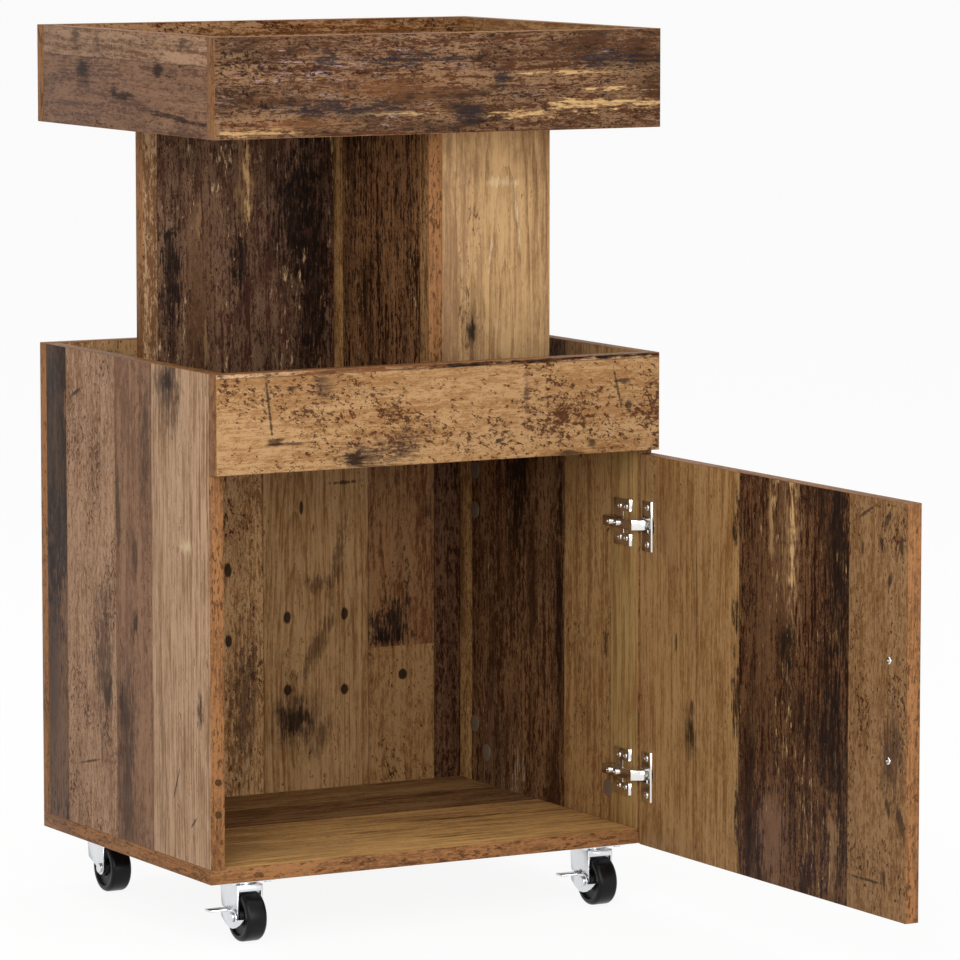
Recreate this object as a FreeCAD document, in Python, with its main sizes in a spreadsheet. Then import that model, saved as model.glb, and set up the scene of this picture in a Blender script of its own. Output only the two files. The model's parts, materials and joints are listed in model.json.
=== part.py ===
import FreeCAD, Part
import os
import Sketcher
from FreeCAD import Placement, Rotation, Vector

# Serving cart: a cabinet with one door, a tray on top of it, a column of three boards, a second tray
# and four casters. Millimetres, +Z up, +X to the right, front towards -Y. The origin is on the floor,
# under the middle of the trays. The door is drawn open at a right angle.

DIMENSIONS = (
    ("width", 500, "trays and cabinet, side to side"),
    ("depth", 405, "trays and cabinet, front to back"),
    ("board", 15, "thickness of every board"),
    ("caster_height", 63, "floor to the underside of the bottom board"),
    ("carcass_height", 504, "underside of the bottom board to the rim of the lower tray"),
    ("tray_wall", 99, "height of a tray's front"),
    ("tray_spacing", 227, "rim of the lower tray to the underside of the top tray"),
    ("bottom_setback", 1.5, "front edge of the bottom board behind the sides' front edges"),
    ("column_left_inset", 53, "column's left end to the inside of the trays"),
    ("column_right_inset", 57, "column's right end to the inside of the trays"),
    ("column_front_inset", 82.5, "column's front face to the inside of the trays"),
    ("column_back_inset", 73, "column's back face to the inside of the trays"),
    ("column_middle", 38, "middle of the cart to the left face of the column's middle board"),
    ("door_side_gap", 3.5, "reveal on each side of the closed door"),
    ("door_top_gap", 4.5, "gap between the door and the front of the lower tray"),
    ("door_face_gap", 2.5, "gap between the closed door and the sides' front edges"),
    ("pin_from_edge", 5.5, "hinge pin to the hinged edge of the door"),
    ("pin_from_sides", 8.5, "hinge pin to the plane of the sides' front edges"),
    ("upper_hinge_drop", 77, "upper hinge below the lower tray's floor"),
    ("lower_hinge_height", 71.5, "lower hinge above the underside of the bottom board"),
    ("cup_from_edge", 15.5, "middle of a hinge cup to the hinged edge"),
    ("cup_diameter", 26, "hinge cup, outside"),
    ("cup_depth", 11, "hinge cup, outside"),
    ("cup_wall", 0.8, "sheet of the hinge cup"),
    ("cup_rim", 1, "rim of the hinge cup past its wall"),
    ("nose_height", 13.6, "square nose of the hinge cup, outside"),
    ("nose_end", 1.9, "door left standing between the nose and the hinged edge"),
    ("flange_height", 51, "wings of the hinge cup, end to end"),
    ("flange_width", 18, "wings of the hinge cup"),
    ("flange_thickness", 1, "rim and wings of the hinge cup"),
    ("cup_screw_spacing", 38, "the two screws of a hinge cup"),
    ("cup_clearance", 0.1, "hinge cup in its recess"),
    ("pin_diameter", 2.4, "hinge pin"),
    ("running_clearance", 0.05, "radial play of a pin, axle or king pin"),
    ("eye_radius", 2.4, "eye of the hinge arm"),
    ("nose_thickness", 2.6, "hinge arm between its eye and its bend"),
    ("arm_thickness", 8, "hinge arm along the wall"),
    ("arm_height", 10, "hinge arm"),
    ("arm_reach", 54, "back end of the hinge arm behind the sides' front edges"),
    ("hinge_plate", 3, "thickness of the mounting plate"),
    ("wing_front", 12.5, "front of the mounting plate behind the sides' front edges"),
    ("wing_back", 45, "back of the mounting plate's wings behind the sides' front edges"),
    ("wing_height", 47.5, "mounting plate, wing to wing"),
    ("tongue_height", 14, "mounting plate under the arm"),
    ("plate_screw_front", 21, "front screws of the mounting plate behind the sides' front edges"),
    ("plate_screw_pair", 12.5, "front to back screws of one wing"),
    ("plate_screw_rows", 32, "screws of one wing to those of the other"),
    ("arm_screw_front", 26, "front screw of the hinge arm behind the sides' front edges"),
    ("arm_screw_pitch", 14, "front to back screw of the hinge arm"),
    ("wood_screw", 3.5, "shank of the hinge and caster screws"),
    ("wood_screw_length", 12, "shank of the hinge and caster screws"),
    ("wood_screw_head", 7, "head diameter of the hinge and caster screws"),
    ("head_height", 2, "height of every screw head"),
    ("arm_screw", 4, "shank of the arm screws and handle screws"),
    ("arm_screw_head", 7.5, "head of the arm screws and handle screws"),
    ("hole_clearance", 0.1, "radial play of a screw in a through hole"),
    ("snug_fit", 0.05, "radial play of a fastener in the hole that holds it"),
    ("handle_centres", 96, "the two handle screws"),
    ("handle_from_edge", 30, "handle to the free edge of the door"),
    ("handle_projection", 15, "handle in front of the door"),
    ("handle_width", 10, "handle, side to side"),
    ("handle_bar", 3.5, "thickness of the handle's bar"),
    ("handle_foot", 12, "foot of the handle along the bar"),
    ("handle_bevel", 7, "slanted corner of the handle"),
    ("handle_screw_grip", 7, "length of a handle screw inside the foot"),
    ("bumper_low", 70, "lower bumper above the underside of the bottom board"),
    ("bumper_pitch", 32, "lower bumper to upper bumper"),
    ("bumper_head", 6.5, "head diameter of a bumper"),
    ("bumper_height", 2, "head of a bumper in front of the side's edge"),
    ("bumper_stem", 4, "stem diameter of a bumper"),
    ("bumper_stem_length", 10, "stem of a bumper in the side's edge"),
    ("cam_diameter", 14.8, "cam lock"),
    ("cam_length", 12, "cam lock"),
    ("cam_clearance", 0.1, "cam lock in its pocket, all round"),
    ("cam_inset", 34, "middle of a cam lock to the edge of its board"),
    ("bolt_diameter", 6, "cam bolt"),
    ("bolt_clearance", 0.2, "radial play of a cam bolt in its bore"),
    ("bolt_grip", 10, "length of a cam bolt in the other board"),
    ("cap_diameter", 18, "cover cap over a cam lock"),
    ("cap_thickness", 1.2, "cover cap"),
    ("back_cam_top", 55, "uppermost cam lock at the back, below the lower tray's floor"),
    ("back_cam_second", 97.5, "second cam lock at the back, below the lower tray's floor"),
    ("back_cam_low", 77, "lowest cam lock at the back, above the underside of the bottom board"),
    ("bottom_cam_inset", 59.5, "cam locks at the bottom, from the ends of the side panel"),
    ("floor_cam_end", 77.5, "floor cam locks towards the sides, from the inside of front and back"),
    ("floor_cam_side", 45, "floor cam locks towards front and back, from the inside of the sides"),
    ("dowel_diameter", 8, "wooden dowel"),
    ("dowel_grip_face", 10, "dowel in the face of a board"),
    ("dowel_grip_edge", 18, "dowel in the edge of a board"),
    ("dowel_end_gap", 0.5, "room at each end of a dowel"),
    ("dowel_inset", 24, "dowel to the end of a tray's corner"),
    ("column_dowel_inset", 48, "dowel to the end of the column"),
    ("column_screw", 5, "shank of the column screws"),
    ("column_screw_grip", 30, "column screw inside the column"),
    ("column_screw_head", 10, "head of the column screws"),
    ("column_screw_head_height", 3, "head of the column screws, let into the floor"),
    ("column_screw_inset", 32, "column screw to the end of its board"),
    ("caster_side_inset", 50, "a caster's swivel to the left or right side of the cart"),
    ("caster_end_inset", 48.5, "a caster's swivel to the front or back of the cart"),
    ("caster_plate", 50, "square mounting plate of a caster"),
    ("caster_plate_thickness", 2, "mounting plate of a caster"),
    ("caster_screw_pitch", 38, "screws of a caster's plate"),
    ("race_diameter", 30, "ball race under the plate"),
    ("race_height", 3.7, "ball race under the plate"),
    ("swivel_gap", 0.3, "play of the fork between the race and the king pin's head"),
    ("king_pin", 8, "king pin"),
    ("king_pin_head", 13, "head of the king pin"),
    ("tread_to_pin", 2.7, "tread below the king pin's head"),
    ("wheel_width", 22, "wheel"),
    ("wheel_shoulder", 4, "rounding of the tread"),
    ("tread_depth", 5.5, "tread outside the hollow in the wheel's side"),
    ("wheel_hub", 8, "radius of the wheel's hub"),
    ("wheel_hollow", 3, "depth of the hollow in the wheel's side"),
    ("wheel_play", 0.4, "hub to each leg of the fork"),
    ("wheel_to_leg", 1, "tread to each leg of the fork"),
    ("trail", 11, "axle in front of the swivel"),
    ("axle", 6, "axle"),
    ("axle_head", 10, "riveted head of the axle"),
    ("axle_head_height", 2.5, "riveted head of the axle"),
    ("fork_sheet", 2, "sheet of the fork"),
    ("lip_clearance", 0.5, "front lip of the fork above the top of the tread"),
    ("fork_front", 7, "leg of the fork in front of the axle"),
    ("fork_back", 20, "top of the fork behind the swivel"),
    ("fork_back_drop", 7, "straight back edge of the fork"),
    ("fork_leg", 8, "leg of the fork behind the axle"),
    ("lever_sheet", 2, "sheet of the brake lever"),
    ("lever_gap", 0.15, "brake lever to the fork and to the axle's head"),
    ("lever_hub", 8, "radius of the brake lever round the axle"),
    ("pedal_length", 18, "pedal out from the lever"),
    ("pedal_front", 12, "front of the pedal behind the axle"),
    ("pedal_back", 25, "back of the pedal behind the axle"),
    ("pedal_rise", 6, "top of the pedal above the axle"),
    ("heel_drop", 8, "back of the lever below the axle"),
    ("shoe_reach", 23, "brake shoe in front of the axle"),
    ("shoe_rise", 1, "tip of the brake shoe above the axle"),
    ("shoe_drop", 11.5, "brake shoe below the axle"),
)

document = FreeCAD.newDocument("serving_cart")
sheet = document.addObject("Spreadsheet::Sheet", "size")
for row, (alias, value, meaning) in enumerate(DIMENSIONS, start=1):
    sheet.set(f"A{row}", meaning)
    sheet.set(f"B{row}", str(value))
    sheet.setAlias(f"B{row}", alias)
document.recompute()

# Planes of the cart, as rules on the sheet
LEFT = "(-size.width / 2)"
RIGHT = "(size.width / 2)"
LEFT_INSIDE = "(-size.width / 2 + size.board)"
RIGHT_INSIDE = "(size.width / 2 - size.board)"
FRONT = "(-size.depth / 2)"
BACK = "(size.depth / 2)"
FRONT_INSIDE = "(-size.depth / 2 + size.board)"
BACK_INSIDE = "(size.depth / 2 - size.board)"
BASE = "size.caster_height"
BASE_TOP = "(size.caster_height + size.board)"
RIM = "(size.caster_height + size.carcass_height)"
TRAY = "(size.caster_height + size.carcass_height - size.tray_wall)"
TRAY_TOP = "(size.caster_height + size.carcass_height - size.tray_wall + size.board)"
TOP_TRAY = "(size.caster_height + size.carcass_height + size.tray_spacing)"
TOP_TRAY_FLOOR = "(size.caster_height + size.carcass_height + size.tray_spacing + size.board)"
COLUMN_LEFT = f"({LEFT_INSIDE} + size.column_left_inset)"
COLUMN_RIGHT = f"({RIGHT_INSIDE} - size.column_right_inset)"
COLUMN_FRONT = f"({FRONT_INSIDE} + size.column_front_inset)"
COLUMN_BACK = f"({BACK_INSIDE} - size.column_back_inset)"
MIDDLE_LEFT = "size.column_middle"
MIDDLE_RIGHT = "(size.column_middle + size.board)"
PIN_X = "(size.width / 2 - size.door_side_gap - size.pin_from_edge)"
PIN_Y = "(-size.depth / 2 + size.board - size.pin_from_sides)"
DOOR_INSIDE = f"({PIN_X} - size.pin_from_sides + size.door_face_gap)"
DOOR_OUTSIDE = f"({DOOR_INSIDE} + size.board)"
DOOR_HINGED = f"({PIN_Y} + size.pin_from_edge)"
DOOR_WIDTH = "(size.width - 2 * size.door_side_gap)"
DOOR_HEIGHT = "(size.carcass_height - size.tray_wall - size.door_top_gap)"
DOOR_FREE = f"({DOOR_HINGED} - {DOOR_WIDTH})"

TURNS = {
    "+X": Rotation(Vector(0, 1, 0), 90),
    "-X": Rotation(Vector(0, 1, 0), -90),
    "+Y": Rotation(Vector(1, 0, 0), -90),
    "-Y": Rotation(Vector(1, 0, 0), 90),
    "+Z": Rotation(),
    "-Z": Rotation(Vector(1, 0, 0), 180),
}

nodes = {}
blanks = {}
holes = {}
groups = {}


def bind(item, **rules):
    """Tie properties of a document object to rules on the sheet."""
    for name, rule in rules.items():
        item.setExpression(name, rule)


def place(item, position, turn=None):
    """Tie the base point of a document object to three rules, with a fixed turn."""
    item.Placement = Placement(Vector(), turn or Rotation())
    for axis, rule in zip("xyz", position):
        item.setExpression(f"Placement.Base.{axis}", rule)


def box(name, low, high):
    """A block between two corners."""
    item = document.addObject("Part::Box", name)
    sizes = [f"({top}) - ({bottom})" for bottom, top in zip(low, high)]
    bind(item, Length=sizes[0], Width=sizes[1], Height=sizes[2])
    place(item, low)
    return item


def rod(name, start, axis, radius, length):
    """A cylinder from a start point along one of the six axes."""
    item = document.addObject("Part::Cylinder", name)
    bind(item, Radius=radius, Height=length)
    place(item, start, TURNS[axis])
    return item


def along(point, axis, distance):
    """The point moved along one of the six axes."""
    moved = list(point)
    index = "XYZ".index(axis[1])
    moved[index] = f"({moved[index]} {axis[0]} ({distance}))"
    return tuple(moved)


def fuse(name, items):
    """One solid from several that touch or cross."""
    if len(items) == 1:
        return items[0]
    item = document.addObject("Part::MultiFuse", name)
    item.Shapes = items
    return item


def cut(name, base, tools):
    """The base less its tools."""
    item = document.addObject("Part::Cut", name)
    item.Base = base
    item.Tool = fuse(f"{name}_tools", tools)
    return item


def node(label, item):
    """Name a finished sub-part."""
    item.Label = label
    nodes[label] = item


def drill(board, tool):
    """Keep a hole for a board that is cut later."""
    holes.setdefault(board, []).append(tool)


def snug(diameter):
    """Radius of the hole that holds a fastener of this diameter."""
    return f"({diameter} / 2 + size.snug_fit)"


def collect(label, item):
    """Keep one of several like fasteners."""
    groups.setdefault(label, []).append(item)


def screw(name, start, axis, shank, length, head, head_height="size.head_height"):
    """A screw with a flat head behind its start point."""
    body = rod(f"{name}_shank", start, axis, f"{shank} / 2", length)
    cap = rod(f"{name}_head", along(start, axis, f"-({head_height})"), axis, f"{head} / 2", head_height)
    return fuse(name, [body, cap])


def make_blanks():
    """Boards before drilling."""
    side_low = FRONT_INSIDE, BASE_TOP
    side_high = BACK_INSIDE, RIM
    blanks["bottom_board"] = box(
        "bottom_blank", (LEFT, f"{FRONT_INSIDE} + size.bottom_setback", BASE), (RIGHT, BACK, BASE_TOP))
    blanks["left_side_panel"] = box("left_blank", (LEFT, *side_low), (LEFT_INSIDE, *side_high))
    blanks["right_side_panel"] = box("right_blank", (RIGHT_INSIDE, *side_low), (RIGHT, *side_high))
    blanks["back_panel"] = box("back_blank", (LEFT, BACK_INSIDE, BASE_TOP), (RIGHT, BACK, RIM))
    blanks["lower_tray_front"] = box("lower_front_blank", (LEFT, FRONT, TRAY), (RIGHT, FRONT_INSIDE, RIM))
    blanks["lower_tray_floor"] = box(
        "lower_floor_blank", (LEFT_INSIDE, FRONT_INSIDE, TRAY), (RIGHT_INSIDE, BACK_INSIDE, TRAY_TOP))
    blanks["column_left_panel"] = box(
        "column_left_blank", (COLUMN_LEFT, f"{COLUMN_BACK} - size.board", TRAY_TOP),
        (MIDDLE_LEFT, COLUMN_BACK, TOP_TRAY))
    blanks["column_middle_panel"] = box(
        "column_middle_blank", (MIDDLE_LEFT, COLUMN_FRONT, TRAY_TOP),
        (MIDDLE_RIGHT, COLUMN_BACK, TOP_TRAY))
    blanks["column_right_panel"] = box(
        "column_right_blank", (MIDDLE_RIGHT, COLUMN_FRONT, TRAY_TOP),
        (COLUMN_RIGHT, f"{COLUMN_FRONT} + size.board", TOP_TRAY))
    top = f"({TOP_TRAY} + size.tray_wall)"
    blanks["top_tray_floor"] = box(
        "top_floor_blank", (LEFT_INSIDE, FRONT_INSIDE, TOP_TRAY), (RIGHT_INSIDE, BACK_INSIDE, TOP_TRAY_FLOOR))
    blanks["top_tray_front"] = box("top_front_blank", (LEFT, FRONT, TOP_TRAY), (RIGHT, FRONT_INSIDE, top))
    blanks["top_tray_back"] = box("top_back_blank", (LEFT, BACK_INSIDE, TOP_TRAY), (RIGHT, BACK, top))
    blanks["top_tray_left_side"] = box(
        "top_left_blank", (LEFT, FRONT_INSIDE, TOP_TRAY), (LEFT_INSIDE, BACK_INSIDE, top))
    blanks["top_tray_right_side"] = box(
        "top_right_blank", (RIGHT_INSIDE, FRONT_INSIDE, TOP_TRAY), (RIGHT, BACK_INSIDE, top))
    blanks["door_panel"] = box(
        "door_blank", (DOOR_INSIDE, DOOR_FREE, BASE), (DOOR_OUTSIDE, DOOR_HINGED, f"{BASE} + {DOOR_HEIGHT}"))


def cam_joint(name, board, mate, seat, drilled, bolt_axis, capped):
    """A cam lock let into a board's face and a bolt through its edge into the mating board."""
    centre = along(seat, drilled, "size.board / 2")
    pocket_radius = "size.cam_diameter / 2 + size.cam_clearance"
    bore_radius = "size.bolt_diameter / 2 + size.bolt_clearance"
    pocket_depth = "size.cam_length + 2 * size.cam_clearance"
    drill(board, rod(f"{name}_pocket", seat, drilled, pocket_radius, pocket_depth))
    drill(board, rod(f"{name}_bore", centre, bolt_axis, bore_radius, "size.cam_inset"))
    edge = along(centre, bolt_axis, "size.cam_inset")
    drill(mate, rod(f"{name}_pilot", edge, bolt_axis, snug("size.bolt_diameter"), "size.bolt_grip"))
    lock = rod(f"{name}_cam", along(seat, drilled, "size.cam_clearance"), drilled, "size.cam_diameter / 2",
               "size.cam_length")
    throat_start = along(centre, bolt_axis, "-size.bolt_diameter / 2")
    throat = rod(f"{name}_throat", throat_start, bolt_axis, bore_radius, "size.cam_diameter")
    collect("cam_locks", cut(f"{name}_lock", lock, [throat]))
    collect("cam_bolts", rod(f"{name}_bolt", centre, bolt_axis, "size.bolt_diameter / 2",
                             "size.cam_inset + size.bolt_grip"))
    if capped:
        opposite = {"+": "-", "-": "+"}[drilled[0]] + drilled[1]
        radius = "size.cap_diameter / 2"
        collect("cover_caps", rod(f"{name}_cap", seat, opposite, radius, "size.cap_thickness"))


def make_cam_joints():
    """Cam locks in the side walls, capped, and in the undersides of both tray floors."""
    walls = (
        ("left", "left_side_panel", LEFT_INSIDE, "-X"),
        ("right", "right_side_panel", RIGHT_INSIDE, "+X"),
    )
    for side, board, face, drilled in walls:
        back_y = f"({BACK_INSIDE} - size.cam_inset)"
        for level, height in (("top", f"({TRAY} - size.back_cam_top)"),
                              ("second", f"({TRAY} - size.back_cam_second)"),
                              ("low", f"({BASE} + size.back_cam_low)")):
            seat = (face, back_y, height)
            cam_joint(f"{side}_back_{level}", board, "back_panel", seat, drilled, "+Y", True)
        for end, y in (("front", f"({FRONT_INSIDE} + size.bottom_cam_inset)"),
                       ("rear", f"({BACK_INSIDE} - size.bottom_cam_inset)")):
            seat = (face, y, f"({BASE_TOP} + size.cam_inset)")
            cam_joint(f"{side}_bottom_{end}", board, "bottom_board", seat, drilled, "-Z", True)
    trays = (
        ("lower", "lower_tray_floor", TRAY,
         ("left_side_panel", "right_side_panel", "lower_tray_front", "back_panel")),
        ("top", "top_tray_floor", TOP_TRAY,
         ("top_tray_left_side", "top_tray_right_side", "top_tray_front", "top_tray_back")),
    )
    for tray, board, level, (left, right, front, back) in trays:
        for end, y in (("front", f"({FRONT_INSIDE} + size.floor_cam_end)"),
                       ("rear", f"({BACK_INSIDE} - size.floor_cam_end)")):
            left_seat = (f"({LEFT_INSIDE} + size.cam_inset)", y, level)
            right_seat = (f"({RIGHT_INSIDE} - size.cam_inset)", y, level)
            cam_joint(f"{tray}_left_{end}", board, left, left_seat, "+Z", "-X", False)
            cam_joint(f"{tray}_right_{end}", board, right, right_seat, "+Z", "+X", False)
        for side, x in (("left", f"({LEFT_INSIDE} + size.floor_cam_side)"),
                        ("right", f"({RIGHT_INSIDE} - size.floor_cam_side)")):
            front_seat = (x, f"({FRONT_INSIDE} + size.cam_inset)", level)
            back_seat = (x, f"({BACK_INSIDE} - size.cam_inset)", level)
            cam_joint(f"{tray}_front_{side}", board, front, front_seat, "+Z", "-Y", False)
            cam_joint(f"{tray}_back_{side}", board, back, back_seat, "+Z", "+Y", False)


def dowel(name, edge_board, face_board, joint, axis):
    """A dowel from the edge of one board into the face of another, across the joint."""
    start = along(joint, axis, "-size.dowel_grip_edge")
    hole = snug("size.dowel_diameter")
    drill(edge_board, rod(f"{name}_edge_hole", start, axis, hole, "size.dowel_grip_edge"))
    drill(face_board, rod(f"{name}_face_hole", joint, axis, hole, "size.dowel_grip_face"))
    collect("dowels", rod(f"{name}_pin", along(start, axis, "size.dowel_end_gap"), axis,
                          "size.dowel_diameter / 2",
                          "size.dowel_grip_edge + size.dowel_grip_face - 2 * size.dowel_end_gap"))


def make_dowels():
    """Dowels at the corners of the trays and between the boards of the column."""
    sides = (("left", f"({LEFT} + size.board / 2)"), ("right", f"({RIGHT} - size.board / 2)"))
    for side, x in sides:
        for level, z in (("low", f"({TOP_TRAY} + size.dowel_inset)"),
                         ("high", f"({TOP_TRAY} + size.tray_wall - size.dowel_inset)")):
            board = f"top_tray_{side}_side"
            dowel(f"top_{side}_front_{level}", board, "top_tray_front", (x, FRONT_INSIDE, z), "-Y")
            dowel(f"top_{side}_back_{level}", board, "top_tray_back", (x, BACK_INSIDE, z), "+Y")
        for level, z in (("low", f"({TRAY} + size.dowel_inset)"), ("high", f"({RIM} - size.dowel_inset)")):
            joint = (x, FRONT_INSIDE, z)
            dowel(f"lower_{side}_{level}", f"{side}_side_panel", "lower_tray_front", joint, "-Y")
    back_y = f"({COLUMN_BACK} - size.board / 2)"
    front_y = f"({COLUMN_FRONT} + size.board / 2)"
    for level, z in (("low", f"({TRAY_TOP} + size.column_dowel_inset)"),
                     ("high", f"({TOP_TRAY} - size.column_dowel_inset)")):
        dowel(f"column_left_{level}", "column_left_panel", "column_middle_panel",
              (MIDDLE_LEFT, back_y, z), "+X")
        dowel(f"column_right_{level}", "column_right_panel", "column_middle_panel",
              (MIDDLE_RIGHT, front_y, z), "-X")


def column_screw(name, panel, x, y):
    """Two screws hold one spot of a column board: one from the lower floor, one from the top floor."""
    ends = (
        ("low", "lower_tray_floor", TRAY, "+Z"),
        ("high", "top_tray_floor", TOP_TRAY_FLOOR, "-Z"),
    )
    for level, floor, face, axis in ends:
        outside = (x, y, face)
        seat = along(outside, axis, "size.column_screw_head_height")
        end = along(outside, axis, "size.board")
        loose = "size.column_screw / 2 + size.hole_clearance"
        sink = "size.column_screw_head / 2 + size.hole_clearance"
        drill(floor, rod(f"{name}_{level}_loose", outside, axis, loose, "size.board"))
        drill(floor, rod(f"{name}_{level}_sink", outside, axis, sink, "size.column_screw_head_height"))
        grip = "size.column_screw_grip"
        drill(panel, rod(f"{name}_{level}_pilot", end, axis, snug("size.column_screw"), grip))
        length = f"size.board - size.column_screw_head_height + {grip}"
        collect("column_screws", screw(f"{name}_{level}", seat, axis, "size.column_screw", length,
                                       "size.column_screw_head", "size.column_screw_head_height"))


def make_column_screws():
    """Two spots on each board of the column."""
    back_y = f"({COLUMN_BACK} - size.board / 2)"
    front_y = f"({COLUMN_FRONT} + size.board / 2)"
    middle_x = "(size.column_middle + size.board / 2)"
    inset = "size.column_screw_inset"
    column_screw("left_outer", "column_left_panel", f"({COLUMN_LEFT} + {inset})", back_y)
    column_screw("left_inner", "column_left_panel", f"({MIDDLE_LEFT} - {inset})", back_y)
    column_screw("middle_front", "column_middle_panel", middle_x, f"({COLUMN_FRONT} + {inset})")
    column_screw("middle_back", "column_middle_panel", middle_x, f"({COLUMN_BACK} - {inset})")
    column_screw("right_inner", "column_right_panel", f"({MIDDLE_RIGHT} + {inset})", front_y)
    column_screw("right_outer", "column_right_panel", f"({COLUMN_RIGHT} - {inset})", front_y)


def new_body(label):
    """An empty feature body, listed as a sub-part."""
    body = document.addObject("PartDesign::Body", label)
    node(label, body)
    return body


def new_sketch(body, name, role):
    """A sketch on one of the body's own planes."""
    sketch = body.newObject("Sketcher::SketchObject", f"{body.Name}_{name}")
    plane = next(item for item in body.Origin.OriginFeatures if item.Role == role)
    sketch.AttachmentSupport = [(plane, "")]
    sketch.MapMode = "FlatFace"
    return sketch


def hold(sketch, kind, value_rule, *elements):
    """A dimension of the sketch tied to a rule on the sheet."""
    value = float(sheet.evalExpression(value_rule))
    index = sketch.addConstraint(Sketcher.Constraint(kind, *elements, value))
    sketch.setExpression(f"Constraints[{index}]", value_rule)


def outline(body, name, role, corners):
    """A closed outline of straight lines through corners given as pairs of rules."""
    sketch = new_sketch(body, name, role)
    points = [Vector(*(float(sheet.evalExpression(rule)) for rule in corner), 0) for corner in corners]
    count = len(points)
    for index in range(count):
        sketch.addGeometry(Part.LineSegment(points[index], points[(index + 1) % count]), False)
    for index, (across, up) in enumerate(corners):
        sketch.addConstraint(Sketcher.Constraint("Coincident", index, 2, (index + 1) % count, 1))
        hold(sketch, "DistanceX", across, -1, 1, index, 1)
        hold(sketch, "DistanceY", up, -1, 1, index, 1)
    return sketch


def circle(body, name, role, across, up, radius):
    """A circle given by rules."""
    sketch = new_sketch(body, name, role)
    centre = Vector(float(sheet.evalExpression(across)), float(sheet.evalExpression(up)), 0)
    sketch.addGeometry(Part.Circle(centre, Vector(0, 0, 1), float(sheet.evalExpression(radius))), False)
    hold(sketch, "DistanceX", across, -1, 1, 0, 3)
    hold(sketch, "DistanceY", up, -1, 1, 0, 3)
    hold(sketch, "Radius", radius, 0)
    return sketch


def pad(body, sketch, length, side="Symmetric", reverse=False):
    """Material along the sketch's normal."""
    feature = body.newObject("PartDesign::Pad", f"{sketch.Name}_pad")
    feature.Profile = sketch
    feature.SideType = side
    feature.Reversed = reverse
    bind(feature, Length=length)
    document.recompute()
    return feature


def pocket(body, sketch, length=None, side="Symmetric", reverse=False):
    """A cut along the sketch's normal, right through unless a length is given, that must take material."""
    before = body.Shape.Volume
    feature = body.newObject("PartDesign::Pocket", f"{sketch.Name}_pocket")
    feature.Profile = sketch
    feature.SideType = side
    feature.Reversed = reverse
    if length is None:
        feature.Type = "ThroughAll"
    else:
        bind(feature, Length=length)
    document.recompute()
    if body.Shape.Volume >= before:
        raise RuntimeError(f"{sketch.Name} cuts nothing")
    return feature


def make_hinge_arm(label, height):
    """Arm along the wall that bends out to its eye on the hinge pin."""
    body = new_body(label)
    place(body, (PIN_X, PIN_Y, height))
    wall_side = f"({RIGHT_INSIDE} - size.hinge_plate - {PIN_X})"
    room_side = f"({wall_side} - size.arm_thickness)"
    end = "(size.pin_from_sides + size.arm_reach)"
    half = "size.nose_thickness / 2"
    shape = outline(body, "outline", "XY_Plane", (
        ("0", f"-{half}"), ("0", half), (wall_side, half), (wall_side, end), (room_side, end),
        (room_side, f"-{half}")))
    pad(body, shape, "size.arm_height")
    pad(body, circle(body, "eye", "XY_Plane", "0", "0", "size.eye_radius"), "size.arm_height")
    bore = "size.pin_diameter / 2 + size.running_clearance"
    pocket(body, circle(body, "bore", "XY_Plane", "0", "0", bore))
    loose = "size.arm_screw / 2 + size.hole_clearance"
    for name, back in (("front_hole", "0"), ("back_hole", "size.arm_screw_pitch")):
        y = f"size.pin_from_sides + size.arm_screw_front + {back}"
        pocket(body, circle(body, name, "YZ_Plane", y, "0", loose))


def make_hinge_plate(label, height):
    """Winged plate on the right wall, with a tongue under the arm."""
    face = f"({RIGHT_INSIDE} - size.hinge_plate)"
    front = f"({FRONT_INSIDE} + size.wing_front)"
    wings = box(
        f"{label}_wings", (face, front, f"{height} - size.wing_height / 2"),
        (RIGHT_INSIDE, f"{FRONT_INSIDE} + size.wing_back", f"{height} + size.wing_height / 2"))
    tongue = box(
        f"{label}_tongue", (face, front, f"{height} - size.tongue_height / 2"),
        (RIGHT_INSIDE, f"{FRONT_INSIDE} + size.arm_reach", f"{height} + size.tongue_height / 2"))
    tools = []
    for row, row_sign in (("low", "-"), ("high", "+")):
        for column, back in (("front", "0"), ("back", "size.plate_screw_pair")):
            y = f"({FRONT_INSIDE} + size.plate_screw_front + {back})"
            z = f"({height} {row_sign} size.plate_screw_rows / 2)"
            name = f"{label}_{row}_{column}"
            loose = "size.wood_screw / 2 + size.hole_clearance"
            tools.append(rod(f"{name}_hole", (face, y, z), "+X", loose, "size.hinge_plate"))
            length = "size.wood_screw_length"
            pilot = rod(f"{name}_pilot", (RIGHT_INSIDE, y, z), "+X", snug("size.wood_screw"),
                        f"{length} - size.hinge_plate")
            drill("right_side_panel", pilot)
            fastener = screw(f"{name}_screw", (face, y, z), "+X", "size.wood_screw", length,
                             "size.wood_screw_head")
            collect("hinge_plate_screws", fastener)
    for column, back in (("front", "0"), ("back", "size.arm_screw_pitch")):
        y = f"({FRONT_INSIDE} + size.arm_screw_front + {back})"
        name = f"{label}_arm_{column}"
        tools.append(rod(f"{name}_hole", (face, y, height), "+X", snug("size.arm_screw"), "size.hinge_plate"))
        start = (f"({face} - size.arm_thickness)", y, height)
        collect("hinge_arm_screws", screw(f"{name}_screw", start, "+X", "size.arm_screw",
                                          "size.arm_thickness + size.hinge_plate", "size.arm_screw_head"))
    node(label, cut(f"{label}_drilled", fuse(f"{label}_blank", [wings, tongue]), tools))


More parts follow.
